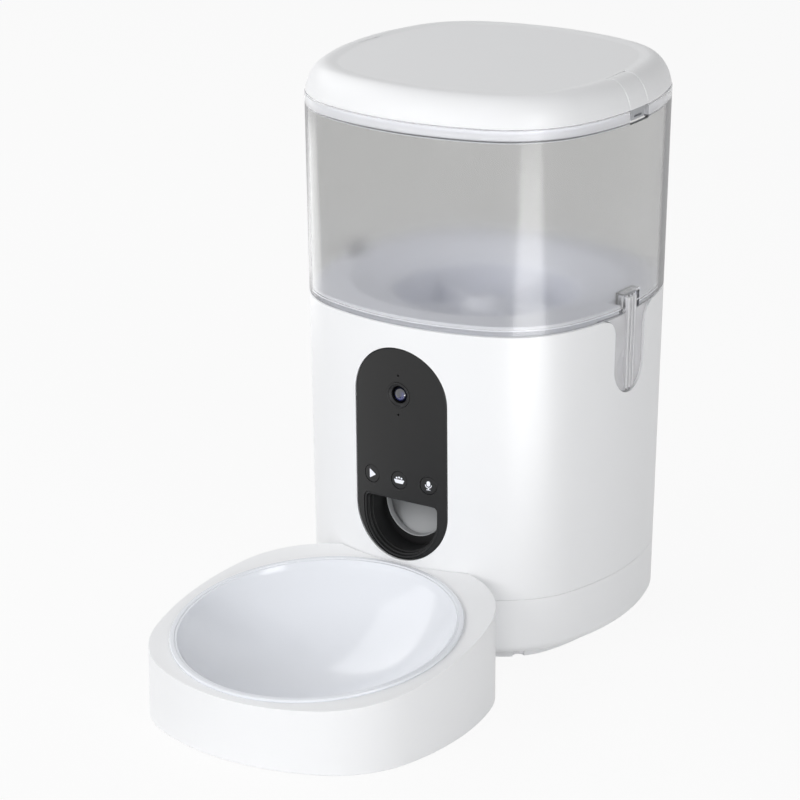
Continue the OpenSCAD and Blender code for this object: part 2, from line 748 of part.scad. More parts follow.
// Three panel buttons, their switches and board
module panel_button(x) {
    color(black) placed() {
        intersection() {
            along_y(x, button_z, -far, button_back, button_r);
            front_skin(panel_sink, body_half_w / 2, button_z - 2 * button_r, button_z + 2 * button_r);
        }
        along_y(x, button_z, button_back - button_lip, button_back, button_r + button_lip);
    }
}
module play_button() {
    panel_button(-button_gap);
}
module feed_button() {
    panel_button(0);
}
module mic_button() {
    panel_button(button_gap);
}
module tact_switches() {
    half = 3;
    case_h = 1.6;
    stem_r = 1.6;
    slack = 0.1;
    color(steel) placed() for (x = [-1:1]) {
        box([x * button_gap - half, board_y - case_h, button_z - half],
            [x * button_gap + half, board_y, button_z + half]);
        along_y(x * button_gap, button_z, button_back + button_travel + slack, board_y, stem_r);
    }
}
module button_board() {
    margin = 9;
    below = 6;
    post_r = 2;
    post_in = 3.2;
    post_up = 6.5;
    half_w = button_gap + margin;
    color(green) placed() {
        box([-half_w, board_y, button_z - below], [half_w, board_y + board_t, button_z + margin]);
        for (x = [-1, 1]) intersection() {
            along_y(x * (half_w - post_in), button_z + post_up, front_y, board_y, post_r);
            front_skin(panel_back, body_half_w / 2, button_z, button_z + post_up + 2 * post_r);
        }
    }
}

// Grey chute from the rotor outlet down to the collar
module chute() {
    floor_run = [[chute_rear, chute_top], [chute_exit_y, chute_exit_low]];
    roof_run = [[-outlet_front - 3, chute_top], [chute_exit_y, chute_exit_high]];
    t = inner_wall;
    color(grey) placed() {
        from_side(-chute_half_w, chute_half_w) polygon([floor_run[0], floor_run[0] + [t, 0],
            floor_run[1] + [t, 0], floor_run[1] + [0, -t], floor_run[1]]);
        from_side(-chute_half_w, chute_half_w) polygon([roof_run[0], roof_run[0] + [t, 0],
            roof_run[1] + [t, 0], roof_run[1]]);
        both_sides() from_side(chute_w / 2, chute_half_w) polygon([floor_run[0] + [t, 0],
            floor_run[1] + [t, 0], floor_run[1] + [0, -t], roof_run[1], roof_run[0]]);
    }
}

// Drive: mounting plate, gear case, bushes, motor and gears
module drive_plate() {
    color(grey) placed() difference() {
        box([-plate_half_w, plate_front, plate_bottom], [plate_half_w, plate_rear, plate_top]);
        for (p = post_places) upright(p[0], p[1], plate_bottom - over, plate_top + over, screw_r + fit);
        upright(0, 0, plate_bottom - over, plate_top + over, bush_r + running);
        for (p = housing_ears) upright(p[0], p[1], plate_bottom - over, plate_top + over, screw_r + running);
    }
}
module drive_screws() {
    color(steel) placed() {
        for (p = post_places)
            translate([p[0], p[1], plate_bottom - screw_head_h]) pan_screw(plate_t + screw_bite - 1);
        for (p = housing_ears)
            translate([p[0], p[1], plate_bottom - ear_t - screw_head_h]) pan_screw(ear_t + plate_t);
    }
}
module gearbox_housing() {
    color(grey) placed() difference() {
        union() {
            box([-housing_half_w, housing_front, housing_bottom], [housing_half_w, housing_rear, plate_bottom]);
            for (p = housing_ears) {
                upright(p[0], p[1], plate_bottom - ear_t, plate_bottom, ear_r);
                box([min(p[0], 0), p[1] - ear_r, plate_bottom - ear_t],
                    [max(p[0], 0), p[1] + ear_r, plate_bottom]);
            }
        }
        box([-housing_half_w + inner_wall, housing_front + inner_wall, housing_bottom + housing_floor_t],
            [housing_half_w - inner_wall, housing_rear - inner_wall, plate_bottom + over]);
        upright(0, 0, housing_bottom - over, housing_bottom + housing_floor_t + over, bush_r + running);
        upright(0, gear_gap, housing_bottom - over, housing_bottom + housing_floor_t + over, motor_nose_r + fit);
        for (p = housing_ears)
            upright(p[0], p[1], plate_bottom - ear_t - over, plate_bottom + over, screw_r + fit);
    }
}
module shaft_bush(z0, z1) {
    tube(z0, z1, bush_r, shaft_r + running);
    tube(z1, z1 + bush_flange_t, bush_flange_r, shaft_r + running);
}
module shaft_bushes() {
    color(bronze) placed() {
        shaft_bush(plate_bottom, plate_top);
        shaft_bush(housing_bottom, housing_bottom + housing_floor_t);
    }
}
module motor() {
    nose_h = 2;
    bore = 6;
    terminal_x = 5;
    terminal_h = 4;
    terminal_half = [1, 2];
    low = housing_bottom - motor_h;
    color(steel) placed() difference() {
        union() {
            upright(0, gear_gap, low, housing_bottom, motor_r);
            upright(0, gear_gap, housing_bottom, housing_bottom + nose_h, motor_nose_r);
            for (x = [-1, 1])
                box([x * terminal_x - terminal_half[0], gear_gap - terminal_half[1], low - terminal_h],
                    [x * terminal_x + terminal_half[0], gear_gap + terminal_half[1], low]);
        }
        upright(0, gear_gap, housing_bottom - bore, housing_bottom + nose_h + 1, motor_shaft_r + running);
    }
}
module motor_pinion() {
    color(white) placed() translate([0, gear_gap, 0]) {
        translate([0, 0, gear_z - 0.5]) spur_gear(pinion_teeth, gear_module, gear_t + 1, 0.35);
        upright(0, 0, housing_bottom - 5, gear_z, motor_shaft_r);
    }
}
module drive_gear() {
    color(white) placed() difference() {
        union() {
            translate([0, 0, gear_z]) spur_gear(gear_teeth, gear_module, gear_t, 0.2);
            upright(0, 0, housing_bottom + housing_floor_t + bush_flange_t + 0.1, gear_z + gear_t + boss_rise,
                shaft_r + boss_t);
        }
        upright(0, 0, housing_bottom, gear_z + gear_t + boss_rise + over, shaft_r);
    }
}
module drive_shaft() {
    color(steel) placed() {
        upright(0, 0, housing_bottom, chamber_bottom - 2, shaft_r);
        box([-dog_w / 2, -dog_w / 2, chamber_bottom - 3], [dog_w / 2, dog_w / 2, chamber_bottom + dog_h]);
    }
}

// A band of constant thickness along a run of points, mitred at its bends
function left_of(v) = [-v[1], v[0]] / norm(v);
function mitre(run, i) =
    let (last = len(run) - 1)
    let (before = left_of(run[max(i, 1)] - run[max(i, 1) - 1]))
    let (after = left_of(run[min(i + 1, last)] - run[min(i, last - 1)]))
    (before + after) / (1 + before * after);
function band(run, t) = concat(
    [for (i = [0:len(run) - 1]) run[i] + t / 2 * mitre(run, i)],
    [for (i = [len(run) - 1:-1:0]) run[i] - t / 2 * mitre(run, i)]);

// Boards, speaker, inlet and cables at the back
module main_board() {
    color(green) placed() difference() {
        box([-main_board_half_w, main_board_y, main_board_low],
            [main_board_half_w, main_board_y + board_t, main_board_high]);
        for (p = board_screw_places) along_y(p[0], p[1], main_board_y - over, far, screw_r + fit);
    }
}
module board_screws() {
    color(steel) placed() for (p = board_screw_places)
        translate([p[0], main_board_y - screw_head_h, p[1]]) rotate([-90, 0, 0])
            pan_screw(board_t + screw_bite - 2);
}
module board_ribbon() {
    t = 0.8;
    side_x = -(body_half_w - wall - 9);
    end_y = main_board_y;
    start = [-(button_gap + 8), board_y + board_t + t / 2];
    bend = 12;
    run = [[-main_board_half_w + bend / 3, end_y - t / 2], [-main_board_half_w - bend / 2, end_y - t / 2],
        [side_x + bend, end_y - bend], [side_x, end_y - 3 * bend], [side_x, -body_half_w / 9],
        [side_x + bend, -body_half_w / 2], [start[0] - bend, start[1] + bend / 2],
        [start[0] - bend / 2, start[1]], start];
    color(grey) placed() translate([0, 0, button_z - 4]) linear_extrude(8) polygon(band(run, t));
}
module speaker() {
    magnet_t = 2;
    cone_depth = 4;
    back = speaker_front + speaker_depth - fit;
    color(black) placed() difference() {
        along_y(0, speaker_z, speaker_front - magnet_t, back, speaker_r);
        translate([0, back - cone_depth, speaker_z]) rotate([-90, 0, 0])
            cylinder(h = cone_depth + 1, r1 = speaker_r / 3, r2 = speaker_r - 1);
    }
}
module power_inlet() {
    half_w = inlet_w / 2;
    half_h = inlet_h / 2;
    flange = 2;
    sunk = 0.5;
    pin_x = 3;
    pin_r = 1.7;
    inner = back_y - inlet_depth;
    color(black) placed() difference() {
        union() {
            box([-half_w, inner, inlet_z - half_h], [half_w, back_y - sunk, inlet_z + half_h]);
            box([-half_w - flange, inner, inlet_z - half_h - flange],
                [half_w + flange, back_y - wall - 2 * sunk, inlet_z + half_h + flange]);
        }
        from_front(inner + flange, far) for (x = [-1, 1]) {
            translate([x * pin_x, inlet_z]) circle(pin_r);
            translate([-pin_x, inlet_z - pin_r]) square([2 * pin_x, 2 * pin_r]);
        }
    }
}
module batteries() {
    color([0.25, 0.27, 0.30]) placed() for (i = [-1:1]) {
        along_y(i * (cell_d + cell_gap / 2), cell_z, -cell_l / 2, cell_l / 2 - 1.5, cell_d / 2);
        along_y(i * (cell_d + cell_gap / 2), cell_z, cell_l / 2 - 2, cell_l / 2, cell_d / 6);
    }
}
module battery_contacts() {
    color(steel) placed() for (i = [-1:1]) for (y = [-1, 1])
        translate([i * (cell_d + cell_gap / 2), y * (bay_half_l - contact_t / 2), cell_z])
            cube([2 * contact_half_w, contact_t, 2 * contact_half_w], center = true);
}
module battery_door() {
    half_w = bay_half_w + door_lip - gap;
    half_l = bay_half_l + door_lip - gap;
    color(white) placed() difference() {
        box([-half_w, -half_l, bay_floor - door_t], [half_w, half_l, bay_floor]);
        for (i = [-1:1]) box([i * 8 - 2, half_l - 14, bay_floor - door_t - over],
            [i * 8 + 2, half_l - 6, bay_floor - door_t + 0.8]);
    }
}

// Clear hopper with its floor flange, rim band, hook pockets and lid notches
module hopper() {
    low = base_h + seam / 2;
    spigot_out = wall + gap;
    spigot_in = spigot_out + hopper_wall;
    color(clear) placed() difference() {
        union() {
            swept_body() polygon([[lean(low), low], [lean(lid_z), lid_z], [lean(lid_z) - rim_t, lid_z],
                [lean(lid_z - rim_h) - rim_t, lid_z - rim_h],
                [lean(lid_z - rim_h) - hopper_wall, lid_z - rim_h - rim_t + hopper_wall],
                [lean(flange_top) - hopper_wall, flange_top], [-spigot_in, flange_top],
                [-spigot_in, deck_top], [-spigot_out, deck_top], [-spigot_out, low]]);
            both_sides() box([body_half_w - hook_pocket_depth - hook_pocket_wall,
                -hook_pocket_w / 2 - hook_pocket_wall, low], [body_half_w - hopper_wall / 2,
                hook_pocket_w / 2 + hook_pocket_wall, hook_pocket_top + hook_pocket_wall]);
        }
        both_sides() {
            box([body_half_w - hook_pocket_depth, -hook_pocket_w / 2, deck_top - over],
                [far, hook_pocket_w / 2, hook_pocket_top]);
            box([body_half_w - pocket_depth - over, -latch_w / 2 - latch_shoulder_r - 2, deck_top - over],
                [far, latch_w / 2 + latch_shoulder_r + 2, low]);
            box([body_half_w - plug_out - 4, -strip_w / 2 - gap, lid_z - notch_h],
                [far, strip_w / 2 + gap, lid_z + over]);
        }
    }
}
module funnel_deck() {
    ring_in = chamber_r - 6;
    ring_out = well_r + 14;
    color(white) placed() difference() {
        union() {
            difference() {
                plate(body, lean(flange_top) - hopper_wall - gap, flange_top, funnel_top);
                upright(0, 0, flange_top - over, funnel_top + over, ring_out);
            }
            rotate_extrude() polygon([[ring_in, chamber_top], [chamber_flange_r, chamber_top],
                [chamber_flange_r, chamber_top + 2.2], [ring_out - 2, flange_top], [ring_out + 2, flange_top],
                [ring_out + 2, funnel_top], [ring_out - 2, funnel_top], [ring_in, chamber_top + 3.2]]);
        }
        both_sides() box([body_half_w - hook_pocket_depth - hook_pocket_wall - gap,
            -hook_pocket_w / 2 - hook_pocket_wall - gap, chamber_top],
            [far, hook_pocket_w / 2 + hook_pocket_wall + gap, funnel_top + over]);
        for (p = chamber_screw_places)
            upright(p[0], p[1], chamber_top - over, chamber_top + 2, screw_r + running);
    }
}
module rotor_chamber() {
    color(white) placed() difference() {
        union() {
            upright(0, 0, chamber_bottom, chamber_top, chamber_r);
            upright(0, 0, chamber_top - chamber_flange_t, chamber_top, chamber_flange_r);
        }
        upright(0, 0, chamber_bottom + chamber_floor_t, chamber_top + over, chamber_r - inner_wall);
        upright(0, 0, chamber_bottom - over, chamber_top, hub_spigot_r + running);
        box([-outlet_w / 2, -outlet_front, chamber_bottom - over],
            [outlet_w / 2, -outlet_back, chamber_bottom + chamber_floor_t + over]);
        for (p = chamber_screw_places)
            upright(p[0], p[1], chamber_bottom, chamber_top + over, screw_r + fit);
        for (p = chamber_screw_places)
            upright(p[0], p[1], chamber_bottom, chamber_top - chamber_flange_t, screw_head_r + fit);
    }
}
module hopper_screws() {
    color(steel) placed() for (p = chamber_screw_places)
        translate([p[0], p[1], chamber_top - chamber_flange_t - screw_head_h]) pan_screw(chamber_flange_t + 1.6);
}
module rotor_hub() {
    color(white) placed() difference() {
        union() {
            upright(0, 0, hub_bottom, hub_top - hub_cone_h, hub_r);
            translate([0, 0, hub_top - hub_cone_h]) cylinder(h = hub_cone_h, r1 = hub_r, r2 = hub_r / 2);
            upright(0, 0, chamber_bottom, hub_bottom + over, hub_spigot_r);
        }
        box([-dog_w / 2 - gap, -dog_w / 2 - gap, chamber_bottom - over],
            [dog_w / 2 + gap, dog_w / 2 + gap, chamber_bottom + dog_h + 2]);
    }
}
module rotor_vanes() {
    low = hub_bottom + 0.5;
    high = hub_top - hub_cone_h;
    reach = chamber_r - inner_wall - 0.8;
    sleeve_t = 2.5;
    color(white) placed() {
        tube(low, high, hub_r + sleeve_t, hub_r);
        for (i = [0:vane_count - 1]) rotate(30 + 360 * i / vane_count)
            box([hub_r + sleeve_t / 2, -vane_t / 2, low], [reach, vane_t / 2, high]);
    }
}

// Clear rocking latch that holds the hopper down
module hopper_latch() {
    tongue_top = base_h - 0.7;
    rib_gap = 3.6;
    rib_w = 1.6;
    rib_low = latch_bottom + 4;
    pin_half = latch_w / 2 + gap + pocket_wall - 0.3;
    boss_half = latch_w / 2 - 2;
    bar_t = 2;
    color(clear) {
        intersection() {
            latch_skin(tongue_out, latch_t);
            from_side(0, far) {
                tongue_shape(0, tongue_top);
                tongue_flare(0, tongue_top);
                translate([-hook_w / 2, tongue_top - over]) square([hook_w, hook_top - tongue_top + over]);
            }
        }
        intersection() {
            latch_skin(0, tongue_out + latch_t / 2);
            from_side(0, far) for (i = [-1:1])
                translate([i * rib_gap - rib_w / 2, rib_low]) square([rib_w, hook_top - rib_low]);
        }
        along_y(pivot_x, pivot_z, -pin_half, pin_half, pivot_r);
        along_y(pivot_x, pivot_z, -boss_half, boss_half, pivot_r + 1.4);
        box([body_half_w - hook_pocket_depth + 1.6, -hook_w / 2, hook_top - gap - bar_t],
            [body_half_w - tongue_out - latch_t / 2, hook_w / 2, hook_top - gap]);
    }
}
module latch_skin(out, depth) {
    right_arc() polygon([[lean(latch_bottom) - out, latch_bottom], [lean(hook_top) - out, hook_top],
        [lean(hook_top) - out - depth, hook_top], [lean(latch_bottom) - out - depth, latch_bottom]]);
}
module hopper_latch_right() {
    placed() hopper_latch();
}
module hopper_latch_left() {
    placed() mirror([1, 0, 0]) hopper_latch();
}

// Lid with a round shoulder, a flat dished top and two push strips
function shoulder(inset) =
    let (from = asin((shoulder_drop + lid_bottom - lid_z) / (shoulder_rise - inset)))
    [for (i = [0:9])
        let (t = from + (90 - from) * i / 9)
        [lean(lid_z) - shoulder_w + (shoulder_w - inset) * cos(t),
            lid_z - shoulder_drop + (shoulder_rise - inset) * sin(t)]];
module lid_wall() {
    dish = [ridge_d, lid_top] - 1.4 * [dish_run, lid_dish];
    inner = shoulder(wall);
    polygon(concat(shoulder(0), [dish, dish - [0, wall / 2]], [for (i = [9:-1:0]) inner[i]]));
}
module strip_window(grow) {
    box([body_half_w - strip_end - grow, -strip_w / 2 - grow, lid_z - over],
        [far, strip_w / 2 + grow, lid_top + over]);
}
module lid_shell() {
    color(white) placed() difference() {
        union() {
            swept_body() lid_wall();
            plate(body, ridge_d - dish_run / 2, lid_top - lid_dish - wall, lid_top - lid_dish);
            for (p = lid_post_places)
                upright(p[0], p[1], lid_z + liner_t, lid_top - lid_dish - wall / 2, lid_post_r);
        }
        both_sides() strip_window(0);
        for (p = lid_post_places) upright(p[0], p[1], lid_z, lid_z + 8, screw_r + running);
    }
}
module lid_latch() {
    hook_low = lid_z - notch_h + 1.4;
    color(white) {
        intersection() {
            right_arc() lid_wall();
            strip_window(-strip_gap);
        }
        intersection() {
            right_arc() polygon([[lean(lid_z) - 0.5, lid_z + 1.5], [lean(lid_z) - wall + 0.2, lid_z + 1.5],
                [lean(lid_z) - wall + 0.2, hook_low], [lean(lid_z) - 0.5, hook_low]]);
            box([0, -strip_w / 2 + 2.5, hook_low], [far, strip_w / 2 - 2.5, lid_z + 2]);
        }
    }
}
module lid_latch_right() {
    placed() lid_latch();
}
module lid_latch_left() {
    placed() mirror([1, 0, 0]) lid_latch();
}
module lid_liner() {
    lip = lean(lid_z);
    cup_r = desiccant_r + gap;
    color(white) placed() difference() {
        union() {
            plate(body, lip - liner_inset, lid_z, lid_z + liner_t);
            swept_body() polygon([[lip - plug_out, lid_z - plug_h], [lip - plug_out, lid_z + 1],
                [lip - plug_out - plug_t, lid_z + 1], [lip - plug_out - plug_t, lid_z - plug_h]]);
            tube(lid_z - 6, lid_z + 1, cup_r + inner_wall, cup_r);
        }
        both_sides() box([body_half_w + lip - plug_out + 0.6, -strip_w / 2 - gap, lid_z - over],
            [far, strip_w / 2 + gap, lid_z + 3]);
        for (p = lid_post_places) upright(p[0], p[1], lid_z - 2, lid_z + 3, screw_r + fit);
    }
}
module lid_seal() {
    lip = lean(lid_z);
    color([0.85, 0.87, 0.90]) placed() swept_body() polygon([[lip - plug_out + seal_t, lid_z - plug_h + 2.5],
        [lip - plug_out + seal_t, lid_z - plug_h + 4], [lip - plug_out, lid_z - plug_h + 5],
        [lip - plug_out, lid_z - plug_h + 1.5]]);
}
module lid_screws() {
    color(steel) placed() for (p = lid_post_places)
        translate([p[0], p[1], lid_z - screw_head_h]) pan_screw(7);
}
module desiccant_box() {
    color(white) placed() difference() {
        union() {
            upright(0, 0, lid_z - desiccant_h, lid_z - 0.1, desiccant_r);
            box([-desiccant_r * 0.6, -2, lid_z - desiccant_h - 4], [desiccant_r * 0.6, 2, lid_z - desiccant_h + 1]);
        }
        upright(0, 0, lid_z - desiccant_h + 2, lid_z + over, desiccant_r - 2);
        for (x = [-1, 1]) for (i = [1:3])
            box([x * (i * 6) - 1.2, 6, lid_z - desiccant_h - over], [x * (i * 6) + 1.2, 20, lid_z - desiccant_h + 3]);
    }
}

// Tray that docks at the front, with a sloped top, and its lift-out bowl
module under_slope(drop) {
    translate([0, tray_yc, tray_h - drop]) rotate([tray_slope, 0, 0])
        box([-far / 2, -far / 2, -far / 2], [far / 2, far / 2, 0]);
}
module bowl_frame() {
    translate([0, bowl_y, bowl_top_z]) rotate([tray_slope, 0, 0]) children();
}
module tray() {
    color(white) placed() difference() {
        union() {
            difference() {
                intersection() {
                    translate([0, tray_yc, 0]) plate(tray_plan, 0, foot_h, far / 4);
                    under_slope(0);
                }
                difference() {
                    intersection() {
                        translate([0, tray_yc, 0]) plate(tray_plan, -wall, -over, far / 4);
                        under_slope(tray_top_t);
                    }
                    plate(body, tray_body_gap + wall, -2 * over, far / 2);
                }
            }
            intersection() {
                for (p = tray_foot_places) upright(p[0], p[1], foot_h, far / 4, tray_foot_r + 1.5);
                translate([0, tray_yc, 0]) plate(tray_plan, -wall / 2, foot_h, far / 4);
                under_slope(tray_top_t / 2);
            }
            both_sides() box([tab_x - tab_w / 2, -body_half_w - wall - 1.5, tab_z],
                [tab_x + tab_w / 2, tab_end, tab_z + tab_h]);
        }
        difference() {
            plate(body, tray_body_gap, -over, far / 2);
            both_sides() box([tab_x - tab_w / 2, -far, tab_z], [tab_x + tab_w / 2, 0, tab_z + tab_h]);
        }
        bowl_frame() translate([0, 0, -far / 8]) cylinder(h = far / 4, r = bowl_seat_r);
        for (p = tray_foot_places) upright(p[0], p[1], 0, foot_h + foot_sink, tray_foot_r + fit);
    }
}
module tray_feet() {
    color(rubber) placed() for (p = tray_foot_places)
        upright(p[0], p[1], 0, foot_h + foot_sink, tray_foot_r);
}
module bowl() {
    color(white) placed() bowl_frame() rotate_extrude($fn = 128) {
        intersection() {
            translate([0, bowl_centre_h]) difference() {
                circle(bowl_in_r + bowl_t);
                circle(bowl_in_r);
            }
            translate([0, -far / 4]) square([bowl_rim_r, far / 4 + bowl_rim_h]);
        }
        translate([bowl_open_r, 0.05]) square([bowl_rim_r - bowl_open_r, bowl_rim_h - 0.05]);
    }
}

base_shell();
base_deck();
bottom_cover();
base_screws();
rubber_feet();
front_panel();
chute_collar();
camera_bezel();
camera_lens();
camera_module();
camera_board();
camera_ribbon();
button_board();
tact_switches();
chute();
drive_plate();
drive_screws();
gearbox_housing();
shaft_bushes();
motor();
main_board();
board_screws();
board_ribbon();
speaker();
power_inlet();
batteries();
battery_contacts();
battery_door();
play_button();
feed_button();
mic_button();
drive_gear();
drive_shaft();
motor_pinion();
hopper();
funnel_deck();
rotor_chamber();
hopper_screws();
rotor_hub();
rotor_vanes();
hopper_latch_left();
hopper_latch_right();
lid_shell();
lid_liner();
lid_seal();
lid_screws();
lid_latch_left();
lid_latch_right();
desiccant_box();
tray();
tray_feet();
bowl();
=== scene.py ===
"""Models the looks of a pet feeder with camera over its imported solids.

The shells, the clear hopper, the panel, the latches, the tray and the bowl are modelled new. The
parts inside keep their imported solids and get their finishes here.
"""

import json
import math

import bmesh
import bpy
from mathutils import Matrix, Vector
from mathutils.kdtree import KDTree


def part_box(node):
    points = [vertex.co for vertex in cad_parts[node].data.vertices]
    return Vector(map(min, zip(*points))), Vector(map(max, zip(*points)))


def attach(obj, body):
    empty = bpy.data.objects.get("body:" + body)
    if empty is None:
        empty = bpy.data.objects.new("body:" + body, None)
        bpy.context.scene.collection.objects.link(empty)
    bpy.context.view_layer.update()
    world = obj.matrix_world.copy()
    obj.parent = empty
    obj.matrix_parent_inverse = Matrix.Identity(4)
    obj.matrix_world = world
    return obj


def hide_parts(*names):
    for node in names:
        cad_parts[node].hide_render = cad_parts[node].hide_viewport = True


bl_info = {
    "name": "Pet feeder with camera",
    "version": (1, 0, 0),
    "blender": (4, 5, 0),
    "location": "3D View > Sidebar > Feeder",
    "description": "Models the looks of a pet feeder with camera over its packed solids",
    "category": "Object",
}

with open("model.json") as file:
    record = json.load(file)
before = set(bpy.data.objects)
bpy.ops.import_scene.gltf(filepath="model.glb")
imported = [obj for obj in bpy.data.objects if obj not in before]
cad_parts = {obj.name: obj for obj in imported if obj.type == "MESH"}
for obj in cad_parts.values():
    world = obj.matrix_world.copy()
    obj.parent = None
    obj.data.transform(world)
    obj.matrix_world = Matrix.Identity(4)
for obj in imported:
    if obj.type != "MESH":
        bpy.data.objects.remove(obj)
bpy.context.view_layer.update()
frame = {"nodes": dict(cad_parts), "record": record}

MM = 0.001
MERGE = 0.005 * MM
ARC_STEP = math.radians(1.6)


def middle(node):
    """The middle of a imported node's box."""
    low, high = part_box(node)
    return (low + high) / 2


BASE_LOW, BASE_HIGH = (corner.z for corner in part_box("base_shell"))
HOPPER_LOW, HOPPER_HIGH = (corner.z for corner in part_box("hopper"))
LID_LOW, LID_HIGH = (corner.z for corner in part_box("lid_shell"))
PANEL_LOW, PANEL_HIGH = (corner.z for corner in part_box("front_panel"))
TRAY_LOW, TRAY_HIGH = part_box("tray")
BODY_Y = middle("hopper").y
SEAM = 0.4 * MM
SEAM_Z = BASE_HIGH + SEAM / 2
MOUTH_LOW, MOUTH_HIGH = PANEL_LOW + 0.8 * MM, PANEL_LOW + 34.6 * MM
LATCH_LOW = SEAM_Z - 45 * MM
TAB_X, TAB_HALF, TAB_THICK = 30 * MM, 8 * MM, 5 * MM
TRAY_REACH = 90 * MM
SIDES = (1, 3)  # quarter turns from the front to the right and to the left
BUTTONS = ("play_button", "feed_button", "mic_button")

LAMPS = (  # name, place, width, height, watts, shown in gloss
    ("front", (-0.75, -1.85, 1.05), 1.4, 1.2, 19.6, False),
    ("fill", (0.95, -1.65, 0.30), 0.8, 0.5, 4.8, False),
    ("left", (-1.50, 0.05, 1.30), 1.8, 1.2, 10.8, True),
    ("right", (1.75, -0.95, 0.85), 0.6, 1.2, 12.5, True))
CARDS = (  # name, degrees from the front, distance, length, width, watts
    ("card_right", 55.5, 0.72, 0.62, 0.34, 4.6),
    ("card_left", -104, 0.86, 0.48, 0.5, 1.5))
LAMP_AIM = Vector((0, -0.06, 0.14))
CAMERA_PLACE = (0.91835, -1.50712, 0.72577)
CAMERA_YAW, CAMERA_PITCH = 32.893, 18.919
FOCAL_LENGTH, SENSOR_WIDTH = 152.957, 36.0
BACKDROP_RAYS = ("Camera", "Glossy", "Transmission")


def length(name, description, millimetres):
    """A length property with its default in millimetres."""
    return bpy.props.FloatProperty(
        name=name, description=description, default=millimetres * MM, precision=5, unit="LENGTH")


def angle(name, description, degrees):
    """An angle property with its default in degrees."""
    return bpy.props.FloatProperty(
        name=name, description=description, default=math.radians(degrees), subtype="ANGLE")


def colour(name, description, red, green, blue):
    """A colour property."""
    return bpy.props.FloatVectorProperty(
        name=name, description=description, default=(red, green, blue, 1), size=4, min=0, max=1,
        subtype="COLOR")


class FeederSizes(bpy.types.PropertyGroup):
    """Sizes of the modelled pieces"""
    half_width: length("Half width", "Half of the body's width at the seam under the hopper", 90)
    side_radius: length("Side radius", "Radius of the body's bowed sides in plan", 145)
    side_turn: angle("Side turn", "Angle that half of a side turns through before the corner", 18.75)
    draft: angle("Draft", "Lean of the body's sides", 1)
    shell_wall: length("Shell wall", "Thickness of the white shells", 2.5)
    edge_round: length("Edge round", "Rounding of the shells' edges at the seams", 0.6)
    skirt_round: length("Skirt round", "Rounding of the lower edge of the body", 6)
    foot_inset: length("Foot inset", "Distance of the foot ring from the body's side", 15)
    foot_ring: length("Foot ring height", "Height of the foot ring under the round lower edge", 7.5)
    tab_height: length("Tray tab height", "Height of the tray's two tabs above the floor", 19.5)
    hopper_wall: length("Hopper wall", "Thickness of the clear hopper", 2.2)
    rim_thick: length("Rim thickness", "Thickness of the hopper's rim band", 4.6)
    rim_height: length("Rim height", "Height of the hopper's rim band", 4.5)
    panel_half: length("Panel half width", "Half of the camera panel's width", 28.6)
    panel_sink: length("Panel sink", "Depth of the panel's face below the shell's face", 0.3)
    panel_edge: length("Panel edge", "Rounding of the panel's edge", 1.0)
    button_radius: length("Button radius", "Radius of the panel buttons", 4.85)
    ring_radius: length("Camera ring radius", "Outer radius of the ring round the lens", 7.0)
    lens_radius: length("Lens radius", "Radius of the camera lens", 4.6)
    mouth_half: length("Mouth half width", "Half of the food mouth's width", 23.5)
    mouth_corner: length("Mouth corner", "Radius of the mouth's upper corners", 4)
    hole_radius: length("Chute hole radius", "Radius of the round hole at the back of the mouth", 18.8)
    latch_half: length("Latch half width", "Half of the clear latch tongue's width", 15.5)
    latch_shoulder: length("Latch shoulder", "Radius of the latch tongue's shoulders", 10)
    hook_half: length("Hook half width", "Half of the latch hook's width", 6.4)
    hook_height: length("Hook height", "Height of the latch hook above the seam", 9)
    rib_half: length("Rib half width", "Half of a latch rib's width", 0.95)
    rib_gap: length("Rib gap", "Distance between the latch ribs", 3.4)
    finger_radius: length("Finger dish radius", "Radius of the finger dish in the latch tongue", 12)
    shoulder_width: length("Lid shoulder width", "Width of the lid's round shoulder", 12.7)
    shoulder_drop: length("Lid shoulder drop", "Start of the lid's shoulder curve below the seam", 4.4)
    lid_dish: length("Lid dish", "Depth of the dish in the lid's top", 0.65)
    strip_half: length("Strip half width", "Half of the width of the lid's push strips", 9.5)
    tray_half_length: length("Tray half length", "Half of the tray's length", 83.5)
    tray_brim: length("Tray brim", "Growth of the tray's outline over its packed solid", 2.2)
    tray_side_radius: length("Tray side radius", "Radius of the tray's bowed sides in plan", 150)
    tray_turn: angle("Tray side turn", "Angle that half of a tray side turns through", 15)
    tray_height: length("Tray height", "Height of the tray's top at its middle", 45)
    tray_slope: angle("Tray slope", "Slope of the tray's top up to the back", 7.4)
    bowl_radius: length("Bowl radius", "Radius of the bowl's rim", 76.5)
    bowl_depth: length("Bowl depth", "Depth of the bowl below its rim", 32.6)
    bowl_wall: length("Bowl wall", "Thickness of the bowl", 2.2)


